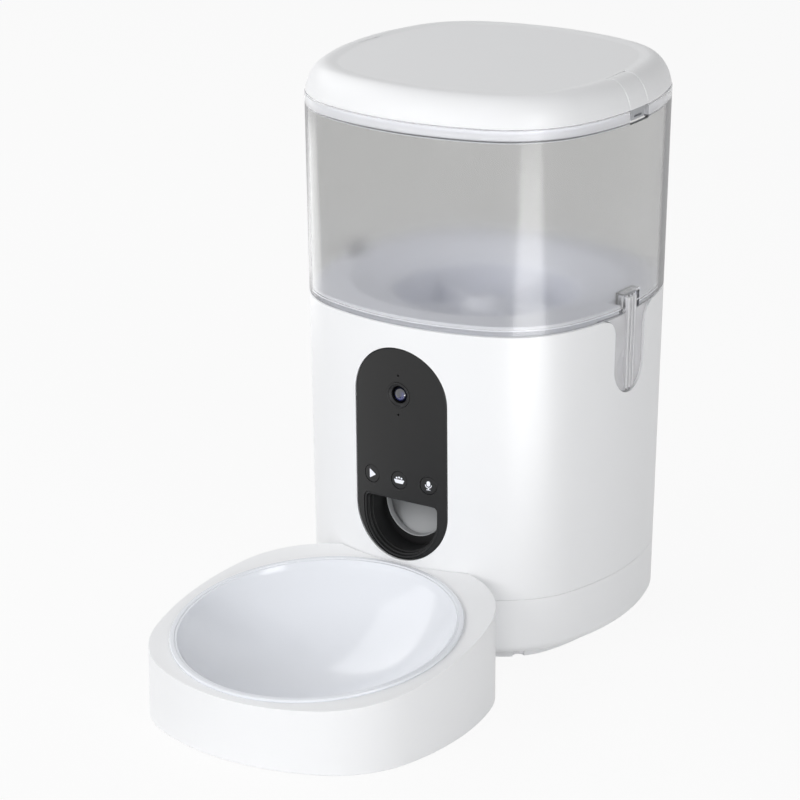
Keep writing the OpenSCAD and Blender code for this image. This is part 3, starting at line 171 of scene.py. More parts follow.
class FeederColours(bpy.types.PropertyGroup):
    """Colours of the finishes"""
    shell: colour("Shell white", "White of the moulded shells", 0.855, 0.862, 0.875)
    bowl: colour("Bowl white", "White of the glossy bowl", 0.80, 0.822, 0.868)
    inner: colour("Inner white", "White of the mouldings inside", 0.89, 0.905, 0.97)
    clear: colour("Clear plastic", "Tint of the clear hopper", 0.695, 0.695, 0.69)
    latch: colour("Latch plastic", "Tint of the clear latches", 0.91, 0.91, 0.93)
    panel: colour("Panel black", "Black of the camera panel", 0.004, 0.004, 0.0042)
    tunnel: colour("Tunnel black", "Black of the food mouth", 0.006, 0.006, 0.0065)
    # the lens blue is painted in rings on the lens's lower right half, as a reflection of the coating
    lens: colour("Lens blue", "Blue of the lens coating", 0.04, 0.05, 0.24)
    chute: colour("Chute grey", "Grey of the chute and drive mouldings", 0.42, 0.43, 0.44)
    rubber: colour("Rubber grey", "Grey of the rubber feet", 0.46, 0.46, 0.47)
    board: colour("Board green", "Green of the circuit boards", 0.018, 0.10, 0.045)
    steel: colour("Steel", "Colour of screws, shaft and motor", 0.58, 0.58, 0.60)
    bronze: colour("Bronze", "Colour of the shaft bushes", 0.52, 0.34, 0.14)
    sleeve: colour("Cell sleeve", "Dark sleeve of the backup cells", 0.02, 0.022, 0.028)
    copper: colour("Cell copper", "Copper band of the backup cells", 0.55, 0.26, 0.10)
    floor: colour("Floor", "Colour of the floor", 0.90, 0.90, 0.90)


def sizes():
    """The sizes in use."""
    return bpy.context.scene.feeder_sizes


def colours():
    """The colours in use."""
    return bpy.context.scene.feeder_colours


class Wire:
    """An output of a node, on which arithmetic adds Math nodes."""

    def __init__(self, finish, socket):
        self.finish = finish
        self.socket = socket

    def maths(self, operation, first, second):
        return self.finish.node("ShaderNodeMath", {"operation": operation}, {0: first, 1: second})

    def __add__(self, other):
        return self.maths("ADD", self, other)

    __radd__ = __add__

    def __sub__(self, other):
        return self.maths("SUBTRACT", self, other)

    def __rsub__(self, other):
        return self.maths("SUBTRACT", other, self)

    def __mul__(self, other):
        return self.maths("MULTIPLY", self, other)

    __rmul__ = __mul__

    def __gt__(self, other):
        return self.maths("GREATER_THAN", self, other)

    def __lt__(self, other):
        return self.maths("LESS_THAN", self, other)


class Finish:
    """The node tree of a material or of the world."""

    def __init__(self, owner):
        owner.use_nodes = True
        self.owner = owner
        self.tree = owner.node_tree
        self.tree.nodes.clear()

    def node(self, kind, settings=None, inputs=None, output=0):
        """Adds a node with its settings and its inputs, and gives one of its outputs."""
        node = self.tree.nodes.new(kind)
        for key, value in (settings or {}).items():
            if key == "stops":
                for stop, (place, tone) in zip(node.color_ramp.elements, value):
                    stop.position, stop.color = place, tone
                for place, tone in value[len(node.color_ramp.elements):]:
                    node.color_ramp.elements.new(place).color = tone
            else:
                setattr(node, key, value)
        for key, value in (inputs or {}).items():
            if isinstance(value, Wire):
                self.tree.links.new(value.socket, node.inputs[key])
            else:
                node.inputs[key].default_value = value
        return Wire(self, node.outputs[output])

    def place(self):
        """Object coordinates."""
        return self.node("ShaderNodeTexCoord", output="Object")

    def along(self, axis):
        """The object coordinate along axis 0, 1 or 2."""
        return self.node("ShaderNodeSeparateXYZ", inputs={0: self.place()}, output=axis)

    def rays(self, *kinds):
        """1 for rays of these kinds and 0 for others."""
        other = 1.0
        for kind in kinds:
            other = (1 - self.node("ShaderNodeLightPath", output=f"Is {kind} Ray")) * other
        return 1 - other

    def noise(self, place, scale):
        """Noise from 0 to 1 at a number of waves in a metre."""
        return self.node("ShaderNodeTexNoise", inputs={"Vector": place, "Scale": scale, "Detail": 2.0})

    def blend(self, factor, first, second):
        """A mix of two colours."""
        return self.node("ShaderNodeMix", {"data_type": "RGBA"}, {0: factor, 6: first, 7: second}, 2)

    def turning(self, first, last):
        """Rises from 0 to 1 between two shares of the turn away from the eye."""
        away = self.node("ShaderNodeLayerWeight", inputs={"Blend": 0.5}, output="Facing")
        return self.node("ShaderNodeMapRange", inputs={0: away, 1: first, 2: last})

    def bump(self, height, strength, distance):
        """A normal that follows a height."""
        return self.node("ShaderNodeBump", inputs={
            "Strength": strength, "Distance": distance, "Height": height})

    def output(self, shader, kind="ShaderNodeOutputMaterial"):
        """Ends the tree in a shader."""
        end = self.tree.nodes.new(kind)
        self.tree.links.new(shader.socket, end.inputs["Surface"])
        return self.owner

    def surface(self, **sockets):
        """Ends a material in one shader with these sockets."""
        shader = self.node("ShaderNodeBsdfPrincipled", inputs={
            key.replace("_", " "): value for key, value in sockets.items()})
        return self.output(shader)


def scaled(tone, factor):
    """A colour made lighter or darker."""
    return tuple(channel * factor for channel in tone[:3]) + (1.0,)


def moulded(finish, tone, roughness, grain=2200.0, relief=0.05, mottle=0.015, **sockets):
    """Moulded plastic with a fine grain, slight clouds in its colour and uneven gloss."""
    place = finish.place()
    cloud = finish.noise(place, 18.0)
    speck = finish.noise(place, grain)
    return finish.surface(
        Base_Color=finish.blend(cloud, scaled(tone, 1 - mottle), scaled(tone, 1 + mottle)),
        Roughness=cloud * 0.08 + (roughness - 0.04),
        Normal=finish.bump(speck, relief, 0.02 * MM), **sockets)


def white_shell(finish):
    return moulded(finish, colours().shell, 0.36)


def white_push(finish):
    """The shell's white, with painted shade: dark grey on the hook under the lid's edge, where the hook lies
    in shadow.
    """
    cloud = finish.noise(finish.place(), 18.0)
    # painted shade: below the lid's edge the hook is coloured dark grey for the shadow in its notch
    hook = finish.along(2) < LID_LOW + 0.1 * MM
    return finish.surface(
        Base_Color=finish.blend(hook, colours().shell, (0.36, 0.37, 0.39, 1)),
        Roughness=cloud * 0.08 + 0.32)


def white_bowl(finish):
    return moulded(finish, colours().bowl, 0.14, grain=1200.0, relief=0.02)


def white_inner(finish):
    return moulded(finish, colours().inner, 0.5, relief=0.1)


def clear_hopper(finish):
    """Slightly hazy clear plastic, which lets the light on what is behind it pass, with painted light and
    shade: a dark line under the rim band, a dark edge at the outline, pale hook pockets and a milky white
    rim band that is partly painted light.
    """
    place = finish.place()
    ripple = finish.noise(place, 26.0)
    height, off = finish.along(2), finish.along(1) - BODY_Y
    painted_shade_width, painted_light_half, painted_light_height = 0.8 * MM, 8.6 * MM, 11 * MM
    rim_low = HOPPER_HIGH - sizes().rim_height - 1.1 * MM
    # the rim band is pale and milky white: a frosted band, and also painted light that stands for the bright
    # light on the rim
    rim = height > rim_low
    # painted shade: a thin dark band just under the rim band stands for the shade at the rim's inner step
    line = (1 - rim) * (height > rim_low - painted_shade_width)
    # painted light: the wall round each hook pocket is left pale and untinted, so that it shows lighter than
    # the rest
    pocket = (off * off < painted_light_half ** 2) * (height < SEAM_Z + painted_light_height)
    # pale is the painted light of the pockets and the rim, dark the painted dark edge at the outline, milk
    # the rim band's white
    pale, painted_edge_dark, rim_frost_and_light = (0.96, 0.96, 0.97, 1), (0.10, 0.10, 0.11, 1), (0.93, 0.93, 0.95, 1)
    tint_and_painted_marks = finish.blend(line, finish.blend(pocket, colours().clear, pale), scaled(colours().clear, 0.4))
    plastic = finish.node("ShaderNodeBsdfPrincipled", inputs={
        "Base Color": finish.blend(rim, tint_and_painted_marks, pale), "Roughness": ripple * 0.03 + 0.15, "IOR": 1.45,
        "Normal": finish.bump(ripple, 0.06, 0.3 * MM), "Transmission Weight": 1.0})
    rim_frost_and_painted_edge = finish.node("ShaderNodeBsdfPrincipled", inputs={
        "Base Color": finish.blend(rim, painted_edge_dark, rim_frost_and_light), "Roughness": 0.3})
    # painted shade: towards the outline the plastic turns into a dark diffuse colour, a painted dark edge;
    # on the rim band a share of milky white
    frost_and_painted_edge_share = rim * 0.3 + (1 - rim) * 0.85 * finish.turning(0.74, 0.79)
    body = finish.node("ShaderNodeMixShader", inputs={0: frost_and_painted_edge_share, 1: plastic, 2: rim_frost_and_painted_edge})
    open_air = finish.node("ShaderNodeBsdfTransparent")
    return finish.output(finish.node("ShaderNodeMixShader", inputs={
        0: finish.rays("Shadow", "Diffuse"), 1: body, 2: open_air}))


def clear_latch(finish):
    """Clear plastic that scatters some light inside, with painted shade in the grooves between its ribs."""
    ripple = finish.noise(finish.place(), 60.0)
    across = finish.node("ShaderNodeMath", {"operation": "ABSOLUTE"}, {0: finish.along(1) - BODY_Y})
    off, painted_shade_half = across - sizes().rib_gap / 2, 0.6 * MM
    # painted shade: the grooves between the ribs are coloured dark, standing for the shade there
    painted_groove_shade = off * off < painted_shade_half ** 2
    return finish.surface(
        Base_Color=finish.blend(painted_groove_shade, colours().latch, scaled(colours().latch, 0.12)),
        Roughness=ripple * 0.03 + 0.1, IOR=1.45,
        Normal=finish.bump(ripple, 0.05, 0.04 * MM), Transmission_Weight=0.5)


def clear_seal(finish):
    return moulded(finish, (0.72, 0.74, 0.77), 0.4, Transmission_Weight=0.4)


def black_panel(finish):
    return moulded(finish, colours().panel, 0.4, grain=3000.0, relief=0.08, mottle=0.1)


def black_inner(finish):
    return moulded(finish, colours().tunnel, 0.5, grain=2600.0, relief=0.12, mottle=0.1)


def lens_glass(finish):
    """Dark coated glass with coloured rings round its middle, partly the lens parts inside and partly a
    painted reflection of the coating; painted light shows them only on its lower right half.
    """
    spot = middle("camera_lens")
    parts = finish.node("ShaderNodeVectorMath", {"operation": "SUBTRACT"}, {
        0: finish.place(), 1: (spot.x, 0, spot.z)})
    flat = finish.node("ShaderNodeVectorMath", {"operation": "MULTIPLY"}, {0: parts, 1: (1, 0, 1)})
    radius = finish.node("ShaderNodeVectorMath", {"operation": "LENGTH"}, {0: flat}, "Value")
    tone = colours().lens
    # the coloured rings: partly the lens parts inside, partly a painted reflection of the coating
    rings = finish.node("ShaderNodeValToRGB", {"stops": [
        (0.0, (0.002, 0.002, 0.006, 1)), (0.22, (0.003, 0.004, 0.016, 1)),
        (0.42, scaled(tone, 0.5)), (0.6, scaled(tone, 0.75)), (0.72, (0.006, 0.008, 0.03, 1)),
        (1.0, (0.002, 0.002, 0.003, 1))]}, {0: radius * (1 / sizes().lens_radius)})
    # painted light: the rings show on the lower right half only, and the upper left half is painted dark
    side = finish.node("ShaderNodeVectorMath", {"operation": "DOT_PRODUCT"}, {
        0: flat, 1: (0.6, 0, -0.8)}, "Value")
    half_lit = finish.node("ShaderNodeMapRange", inputs={0: side, 1: -1.5 * MM, 2: 1.5 * MM})
    haze = finish.noise(finish.place(), 900.0)
    return finish.surface(
        Base_Color=finish.blend(half_lit, (0.003, 0.004, 0.012, 1), rings),
        Roughness=haze * 0.04 + 0.03, IOR=1.9, Coat_Weight=1.0)


def grey_plastic(finish):
    return moulded(finish, colours().chute, 0.45, relief=0.1)


def circuit_board(finish):
    """Solder mask over a net of fine tracks."""
    place = finish.place()
    tracks = finish.node("ShaderNodeTexBrick", {"offset": 0.3}, {
        "Vector": place, "Color1": colours().board, "Color2": scaled(colours().board, 1.25),
        "Mortar": scaled(colours().board, 2.2), "Scale": 160.0, "Mortar Size": 0.06})
    return finish.surface(
        Base_Color=tracks, Roughness=finish.noise(place, 300.0) * 0.1 + 0.35)


def brushed(finish, tone):
    """Metal with fine drawn lines along its height."""
    lines = finish.node("ShaderNodeMapping", inputs={0: finish.place(), "Scale": (1, 1, 0.04)})
    streak = finish.noise(lines, 2500.0)
    return finish.surface(
        Base_Color=finish.blend(streak, scaled(tone, 0.9), scaled(tone, 1.08)), Metallic=1.0,
        Roughness=streak * 0.15 + 0.22)


def steel(finish):
    return brushed(finish, colours().steel)


def bronze(finish):
    return brushed(finish, colours().bronze)


def cell_wrap(finish):
    """Dark sleeve with a copper band at one end of each cell."""
    place = finish.place()
    band = finish.along(1) > BODY_Y + 14 * MM
    return finish.surface(
        Base_Color=finish.blend(band, colours().sleeve, colours().copper),
        Roughness=finish.noise(place, 120.0) * 0.1 + 0.25, Metallic=band * 0.7)


def grey_rubber(finish):
    return moulded(finish, colours().rubber, 0.75, grain=1600.0, relief=0.2, mottle=0.06)


FINISHES = {maker.__name__: maker for maker in (
    white_shell, white_push, white_bowl, white_inner, clear_hopper, clear_latch, clear_seal, black_panel,
    black_inner, lens_glass, grey_plastic, circuit_board, steel, bronze, cell_wrap, grey_rubber)}


def finish_named(name):
    """The material of a finish, made when it is first asked for."""
    material = bpy.data.materials.get("feeder_" + name)
    return material or FINISHES[name](Finish(bpy.data.materials.new("feeder_" + name)))


class Plan:
    """A plan outline of eight arcs about the point (0, y): two sides, two ends and four corners."""

    def __init__(self, half_w, half_l, side_r, turn, y):
        reach = (side_r - half_w) / (math.cos(turn) - math.sin(turn))
        self.half_w, self.y = half_w, y
        self.turn = turn
        self.corner = reach * math.sin(turn)
        corner_r = side_r - reach
        end_r = ((self.corner ** 2 + (self.corner - half_l) ** 2 - corner_r ** 2)
                 / (2 * (half_l - corner_r - self.corner)))
        self.side = side_r - half_w
        self.end = end_r - half_l
        self.end_turn = math.atan2(self.corner, self.corner + self.end)

    def arcs(self):
        """Centre, angle and steps of each arc, counter-clockwise from the middle of the right side."""
        k = self.corner
        bend = math.pi / 2 - self.turn - self.end_turn
        for x, y, turn in ((-self.side, 0, self.turn), (k, k, bend), (0, -self.end, 2 * self.end_turn),
                           (-k, k, bend), (self.side, 0, 2 * self.turn), (-k, -k, bend),
                           (0, self.end, 2 * self.end_turn), (k, -k, bend), (-self.side, 0, self.turn)):
            yield (x, y + self.y, 0), turn, max(2, round(turn / ARC_STEP))


def body_plan():
    """The body's outline at the seam."""
    s = sizes()
    return Plan(s.half_width, s.half_width, s.side_radius, s.side_turn, BODY_Y)


def lean(height):
    """Offset of the body's face from its outline at a height."""
    return (height - SEAM_Z) * math.tan(sizes().draft)


def face(across, height):
    """Distance of the body's bowed face from its axis."""
    s = sizes()
    radius = s.side_radius + lean(height)
    return s.half_width - s.side_radius + math.sqrt(radius ** 2 - across ** 2)


def arc(centre, radius, start, end, steps):
    """Points of an arc between two angles in degrees, both ends included."""
    turns = [math.radians(start + (end - start) * i / steps) for i in range(steps + 1)]
    return [(centre[0] + radius * math.cos(t), centre[1] + radius * math.sin(t)) for t in turns]


def rounded(corners, steps=4):
    """Points of an outline whose corners are (across, up) or (across, up, radius)."""
    line = []
    for i, here in enumerate(corners):
        spot = Vector(here[:2])
        if len(here) == 2:
            line.append(tuple(spot))
            continue
        before = (Vector(corners[i - 1][:2]) - spot).normalized()
        after = (Vector(corners[(i + 1) % len(corners)][:2]) - spot).normalized()
        half = before.angle(after) / 2
        centre = spot + (before + after).normalized() * (here[2] / math.sin(half))
        start = spot + before * (here[2] / math.tan(half)) - centre
        end = spot + after * (here[2] / math.tan(half)) - centre
        line += [tuple(centre + here[2] * start.slerp(end, j / steps)) for j in range(steps + 1)]
    return line


def stadium(half, low, high, grow=0.0, steps=40):
    """Outline of an upright slot with round ends."""
    return (arc((0, high - half), half + grow, 0, 180, steps)
            + arc((0, low + half), half + grow, 180, 360, steps))


def disc(centre, radius, steps=48):
    """Outline of a circle."""
    return arc(centre, radius, 0, 360, steps)[:-1]


def upright(half, low, high, *bend):
    """Corners of an upright rectangle, with their radius if one is given."""
    return [(half, low, *bend), (half, high, *bend), (-half, high, *bend), (-half, low, *bend)]


def mouth_outline(grow):
    """Outline of the food mouth: a straight top with small corners and a round bottom."""
    s = sizes()
    half, small = s.mouth_half, s.mouth_corner
    return (arc((half - small, MOUTH_HIGH - small), small + grow, 0, 90, 8)
            + arc((small - half, MOUTH_HIGH - small), small + grow, 90, 180, 8)
            + arc((0, MOUTH_LOW + half), half + grow, 180, 360, 48))


def tongue_outline(grow, top):
    """Outline of the latch tongue: round below, with shoulders that flare out to the seam."""
    s = sizes()
    half, flare = s.latch_half, s.latch_shoulder
    shoulder = SEAM_Z - 0.5 * MM - flare
    rise = min(0.999, (top - shoulder) / (flare - grow))
    right = arc((half + flare, shoulder), flare - grow, 180, 180 - math.degrees(math.asin(rise)), 10)
    if top > right[-1][1] + MERGE:
        right.append((right[-1][0], top))
    return (arc((0, LATCH_LOW + half), half + grow, 180, 360, 40) + right
            + [(-x, z) for x, z in reversed(right)])


def activate(piece):
    """Leaves edit mode and selects one piece alone."""
    if bpy.context.mode != "OBJECT":
        bpy.ops.object.mode_set(mode="OBJECT")
    bpy.ops.object.select_all(action="DESELECT")
    piece.select_set(True)
    bpy.context.view_layer.objects.active = piece


def settle():
    """Merges doubles, turns the faces outwards and leaves edit mode."""
    bpy.ops.mesh.select_all(action="SELECT")
    bpy.ops.mesh.remove_doubles(threshold=MERGE)
    bpy.ops.mesh.normals_make_consistent(inside=False)
    piece = bpy.context.object
    if bmesh.from_edit_mesh(piece.data).calc_volume(signed=True) < 0:
        bpy.ops.mesh.flip_normals()
    bpy.ops.object.mode_set(mode="OBJECT")
    return piece


def draw(name, points, closed):
    """Draws a line by extruding one vertex through points, and stays in edit mode."""
    spots = [Vector(point) for point in points]
    if closed:
        spots.append(spots[0])
    bpy.ops.object.select_all(action="DESELECT")
    bpy.ops.mesh.primitive_plane_add(size=MM, location=spots[0])
    piece = bpy.context.object
    piece.name = piece.data.name = name
    bpy.ops.object.transform_apply(location=True, rotation=False, scale=False)
    bpy.ops.object.mode_set(mode="EDIT")
    bpy.ops.mesh.select_all(action="SELECT")
    bpy.ops.mesh.merge(type="CENTER")
    for here, there in zip(spots, spots[1:]):
        bpy.ops.mesh.extrude_region_move(TRANSFORM_OT_translate={"value": there - here})
    bpy.ops.mesh.select_all(action="SELECT")
    bpy.ops.mesh.remove_doubles(threshold=MERGE)
    bpy.ops.object.mode_set(mode="OBJECT")
    bpy.ops.object.mode_set(mode="EDIT")
    bpy.ops.mesh.select_all(action="SELECT")
    return piece


def sweep(name, plan, profile, closed=True):
    """Spins a profile of (offset, height) points round a plan outline, and fills what stays open."""
    draw(name, [(plan.half_w + out, plan.y, up) for out, up in profile], closed)
    for centre, turn, steps in plan.arcs():
        bpy.ops.mesh.spin(steps=steps, angle=turn, center=centre, axis=(0, 0, -1))
    if not closed:
        bpy.ops.mesh.select_all(action="SELECT")
        bpy.ops.mesh.remove_doubles(threshold=MERGE)
        bpy.ops.mesh.fill_holes(sides=0)
    return settle()


def revolve(name, profile, centre, axis, steps=96, closed=False):
    """Spins a profile of (radius, along) points once round an axis, 1 for depth or 2 for height."""
    spots = []
    for radius, along in profile:
        spot = Vector(centre) + Vector((radius, 0, 0))
        spot[axis] += along
        spots.append(spot)
    draw(name, spots, closed)
    turn = Vector((0, 0, 0))
    turn[axis] = 1
    bpy.ops.mesh.spin(steps=steps, angle=2 * math.pi, center=centre, axis=turn)
    return settle()


def loft(name, rings):
    """Extrudes a capped ring of points through further rings with as many points."""
    piece = draw(name, rings[0], True)
    bpy.ops.mesh.edge_face_add()
    for before, after in zip(rings, rings[1:]):
        bpy.ops.mesh.extrude_region_move()
        places = KDTree(len(before))
        for index, spot in enumerate(before):
            places.insert(spot, index)
        places.balance()
        grid = bmesh.from_edit_mesh(piece.data)
        for vert in grid.verts:
            if vert.select:
                vert.co = after[places.find(vert.co)[1]]
        bmesh.update_edit_mesh(piece.data)
    return settle()


def slab(name, outline, near, far):
    """A flat solid on an outline of (across, up) points between two depths."""
    return loft(name, [[(x, depth, z) for x, z in outline] for depth in (far, near)])


def soft_slab(name, shape, near, far, radius, steps=4):
    """A flat solid whose near edge is rounded; shape gives its outline for a growth."""
    rings = [(0.0, far)]
    for i in range(steps + 1):
        turn = math.pi / 2 * i / steps
        rings.append((radius * (math.cos(turn) - 1), near + radius * (1 - math.sin(turn))))
    return loft(name, [[(x, depth, z) for x, z in shape(grow)] for grow, depth in rings])


def block(name, low, high):
    """A box between two corners."""
    low, high = Vector(low), Vector(high)
    bpy.ops.object.select_all(action="DESELECT")
    bpy.ops.mesh.primitive_cube_add(size=1, location=(low + high) / 2, scale=high - low)
    piece = bpy.context.object
    piece.name = piece.data.name = name
    bpy.ops.object.transform_apply(location=True, rotation=False, scale=True)
    return piece


def rod(name, centre, radius, axis, reach, steps=48):
    """A round bar about a point, along axis 0, 1 or 2, that reaches as far both ways."""
    bpy.ops.object.select_all(action="DESELECT")
    turn = ((0, math.pi / 2, 0), (math.pi / 2, 0, 0), (0, 0, 0))[axis]
    bpy.ops.mesh.primitive_cylinder_add(
        vertices=steps, radius=radius, depth=2 * reach, location=centre, rotation=turn)
    piece = bpy.context.object
    piece.name = piece.data.name = name
    bpy.ops.object.transform_apply(location=True, rotation=True, scale=False)
    return piece


def join(first, *others):
    """Makes one piece of several."""
    activate(first)
    for other in others:
        other.select_set(True)
    bpy.ops.object.join()
    return first


def cut(piece, tool, operation="DIFFERENCE"):
    """Changes a solid by another one, which is used up."""
    activate(piece)
    change = piece.modifiers.new("cut", "BOOLEAN")
    change.operation = operation
    change.solver = "EXACT"
    change.object = tool
    bpy.ops.object.modifier_apply(modifier=change.name)
    bpy.data.objects.remove(tool)
    return piece


def copy(piece, name):
    """A copy of a piece with its own mesh."""
    activate(piece)
    bpy.ops.object.duplicate(linked=False)
    twin = bpy.context.object
    twin.name = twin.data.name = name
    return twin


def wrap(piece, quarter, bowed=True):
    """Lays a piece that was drawn flat, with its depth along +Y, on the body's front and turns it by
    quarters: 0 front, 1 right, 2 back, 3 left."""
    place = Matrix.Translation((0, BODY_Y, 0)) @ Matrix.Rotation(quarter * math.pi / 2, 4, "Z")
    for vert in piece.data.vertices:
        reach = face(vert.co.x, vert.co.z) if bowed else sizes().half_width
        vert.co = place @ (vert.co - Vector((0, reach, 0)))
    return piece


def recess(piece, quarter, name, outline, near, far, operation="DIFFERENCE"):
    """Cuts a straight room into a piece on one side of the body, or adds a block there."""
    return cut(piece, wrap(slab(name, outline, near, far), quarter, False), operation)


def soften(piece, width, where, steps=2, clamp=True):
    """Bevels the sharp edges whose middle passes a test."""
    activate(piece)
    bpy.ops.object.mode_set(mode="EDIT")
    bpy.ops.mesh.select_mode(type="EDGE")
    bpy.ops.mesh.select_all(action="DESELECT")
    grid = bmesh.from_edit_mesh(piece.data)
    for edge in grid.edges:
        if len(edge.link_faces) == 2 and edge.calc_face_angle() > 0.7:
            edge.select = where((edge.verts[0].co + edge.verts[1].co) / 2)
    bmesh.update_edit_mesh(piece.data)
    bpy.ops.mesh.bevel(offset=width, segments=steps, clamp_overlap=clamp)
    bpy.ops.mesh.select_mode(type="VERT")
    bpy.ops.object.mode_set(mode="OBJECT")
    return piece


def dress(piece, body, slot, *nodes, finish=None, crease=32):
    """Gives a piece its shading and finish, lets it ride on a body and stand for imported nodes."""
    activate(piece)
    bpy.ops.object.shade_smooth_by_angle(angle=math.radians(crease))
    change = piece.modifiers.new("shading", "WEIGHTED_NORMAL")
    change.keep_sharp = True
    bpy.ops.object.modifier_apply(modifier=change.name)
    piece.data.materials.clear()
    piece.data.materials.append(finish_named(finish or slot))
    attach(piece, body)
    if nodes:
        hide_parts(*nodes)
    return piece


class FeederStage(bpy.types.Operator):
    """Sets up the floor, the studio light and the camera"""
    bl_idname = "feeder.stage"
    bl_label = "Stage"

    def execute(self, context):
        scene = context.scene
        scene.view_settings.view_transform = "Standard"
        self.floor()
        world = bpy.data.worlds.new("studio")
        scene.world = world
        finish = Finish(world)
        sky = finish.node("ShaderNodeBackground", inputs={"Color": (1, 1, 1, 1), "Strength": 0.28})
        plain = finish.node("ShaderNodeBackground", inputs={"Color": (0.97, 0.97, 0.97, 1)})
        finish.output(finish.node("ShaderNodeMixShader", inputs={
            0: finish.rays(*BACKDROP_RAYS), 1: sky, 2: plain}), "ShaderNodeOutputWorld")
        for name, place, width, height, power, in_gloss in LAMPS:
            self.lamp(name, place, width, height, power).visible_glossy = in_gloss
        for card in CARDS:
            self.card(*card)
        lens = bpy.data.cameras.new("camera")
        lens.lens, lens.sensor_width = FOCAL_LENGTH, SENSOR_WIDTH
        camera = bpy.data.objects.new("camera", lens)
        x, y, z = CAMERA_PLACE
        camera.location = (x, y + BODY_Y, z)
        camera.rotation_euler = (
            math.pi / 2 - math.radians(CAMERA_PITCH), 0, math.radians(CAMERA_YAW))
        scene.collection.objects.link(camera)
        scene.camera = camera
        return {"FINISHED"}

    def floor(self):
        """The floor, which shows as plain background and catches soft shadows."""
        bpy.ops.object.select_all(action="DESELECT")
        bpy.ops.mesh.primitive_plane_add(size=9, location=(0, 1.0, 0))
        floor = bpy.context.object
        floor.name = floor.data.name = "floor"
        bpy.ops.object.transform_apply(location=True, rotation=False, scale=False)
        finish = Finish(bpy.data.materials.new("feeder_floor"))
        paper = finish.noise(finish.place(), 400.0)
        matt = finish.node("ShaderNodeBsdfDiffuse", inputs={
            "Color": finish.blend(paper, scaled(colours().floor, 0.99), colours().floor)})
        glow = finish.node("ShaderNodeEmission", inputs={"Color": (0.985, 0.985, 0.985, 1)})
        floor.data.materials.append(finish.output(finish.node("ShaderNodeMixShader", inputs={
            0: finish.rays(*BACKDROP_RAYS) * 0.93, 1: matt, 2: glow})))
        return floor

    def card(self, name, side, reach, long, wide, power):
        """A bright card on the floor, at an angle from the front, that only shows in the gloss."""
        turn = math.radians(side - 90)
        place = (reach * math.cos(turn), reach * math.sin(turn), 4 * MM)
        lamp = self.lamp(name, place, long, wide, power)
        lamp.rotation_euler = (math.pi, 0, turn)
        lamp.visible_camera = lamp.visible_diffuse = lamp.visible_transmission = False

    def lamp(self, name, place, width, height, power):
        """A soft lamp that faces the feeder."""
        light = bpy.data.lights.new(name, "AREA")
        light.shape = "RECTANGLE"
        light.size, light.size_y, light.energy = width, height, power
        lamp = bpy.data.objects.new(name, light)
        lamp.location = (place[0], place[1] + BODY_Y, place[2])
        aim = LAMP_AIM - Vector(place)
        lamp.rotation_euler = aim.to_track_quat("-Z", "Y").to_euler()
        bpy.context.scene.collection.objects.link(lamp)
        return lamp


class FeederInnerParts(bpy.types.Operator):
    """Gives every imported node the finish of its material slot"""
    bl_idname = "feeder.inner_parts"
    bl_label = "Inner parts"

    def execute(self, context):
        for subpart in frame["record"]["subparts"]:
            node = frame["nodes"][subpart["node"]]
            node.data.materials.clear()
            node.data.materials.append(finish_named(subpart["material_slot"]))
        return {"FINISHED"}


class FeederBase(bpy.types.Operator):
    """Models the white base shell with its openings"""
    bl_idname = "feeder.base"
    bl_label = "Base shell"

    def execute(self, context):
        s = sizes()
        low, top, wall, edge = BASE_LOW, BASE_HIGH, s.shell_wall, s.edge_round
        shell = sweep("white_base", body_plan(), rounded([
            (lean(low), low, edge / 3), (lean(top), top, edge), (lean(top) - wall, top, edge / 2),
            (lean(low) - wall, low, edge / 2)]))
        gap, inside = 0.2 * MM, 14 * MM
        recess(shell, 0, "panel_hole", stadium(s.panel_half, PANEL_LOW, PANEL_HIGH, gap), -12 * MM, inside)
        for quarter in SIDES:
            recess(shell, quarter, "latch_hole", tongue_outline(1.5 * gap, SEAM_Z + 3 * MM), -6 * MM, inside)
        speaker = middle("speaker")
        pitch, radius, reach = 6 * MM, 1.2 * MM, 9 * MM
        spots = [(0, 0)] + [spot for ring in (1, 2) for spot in disc((0, 0), ring * pitch, 6 * ring)]
        cut(shell, join(*[rod(
            "grille_hole", (speaker.x + x, BODY_Y + s.half_width, speaker.z + z), radius, 1, reach, 20)
            for x, z in spots]))
        inlet_low, inlet_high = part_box("power_inlet")
        rim = Vector((0.2, 0, 0.2)) * MM
        cut(shell, block("inlet_hole", inlet_low - rim, inlet_high + rim + Vector((0, reach, 0))))
        soften(shell, 0.35 * MM, self.on_opening)
        dress(shell, "base", "white_shell", "base_shell")
        return {"FINISHED"}

    def on_opening(self, spot):
        """True on the rims of the panel's and the latches' openings."""
        out = spot - Vector((0, BODY_Y, 0))
        s = sizes()
        near = s.half_width - 7 * MM
        level = BASE_LOW + 4 * MM < spot.z < BASE_HIGH - 1.5 * MM
        front = out.y < -near and abs(out.x) < s.panel_half + MM
        side = abs(out.x) > near and abs(out.y) < s.latch_half + s.latch_shoulder + MM
        return level and (front or side)


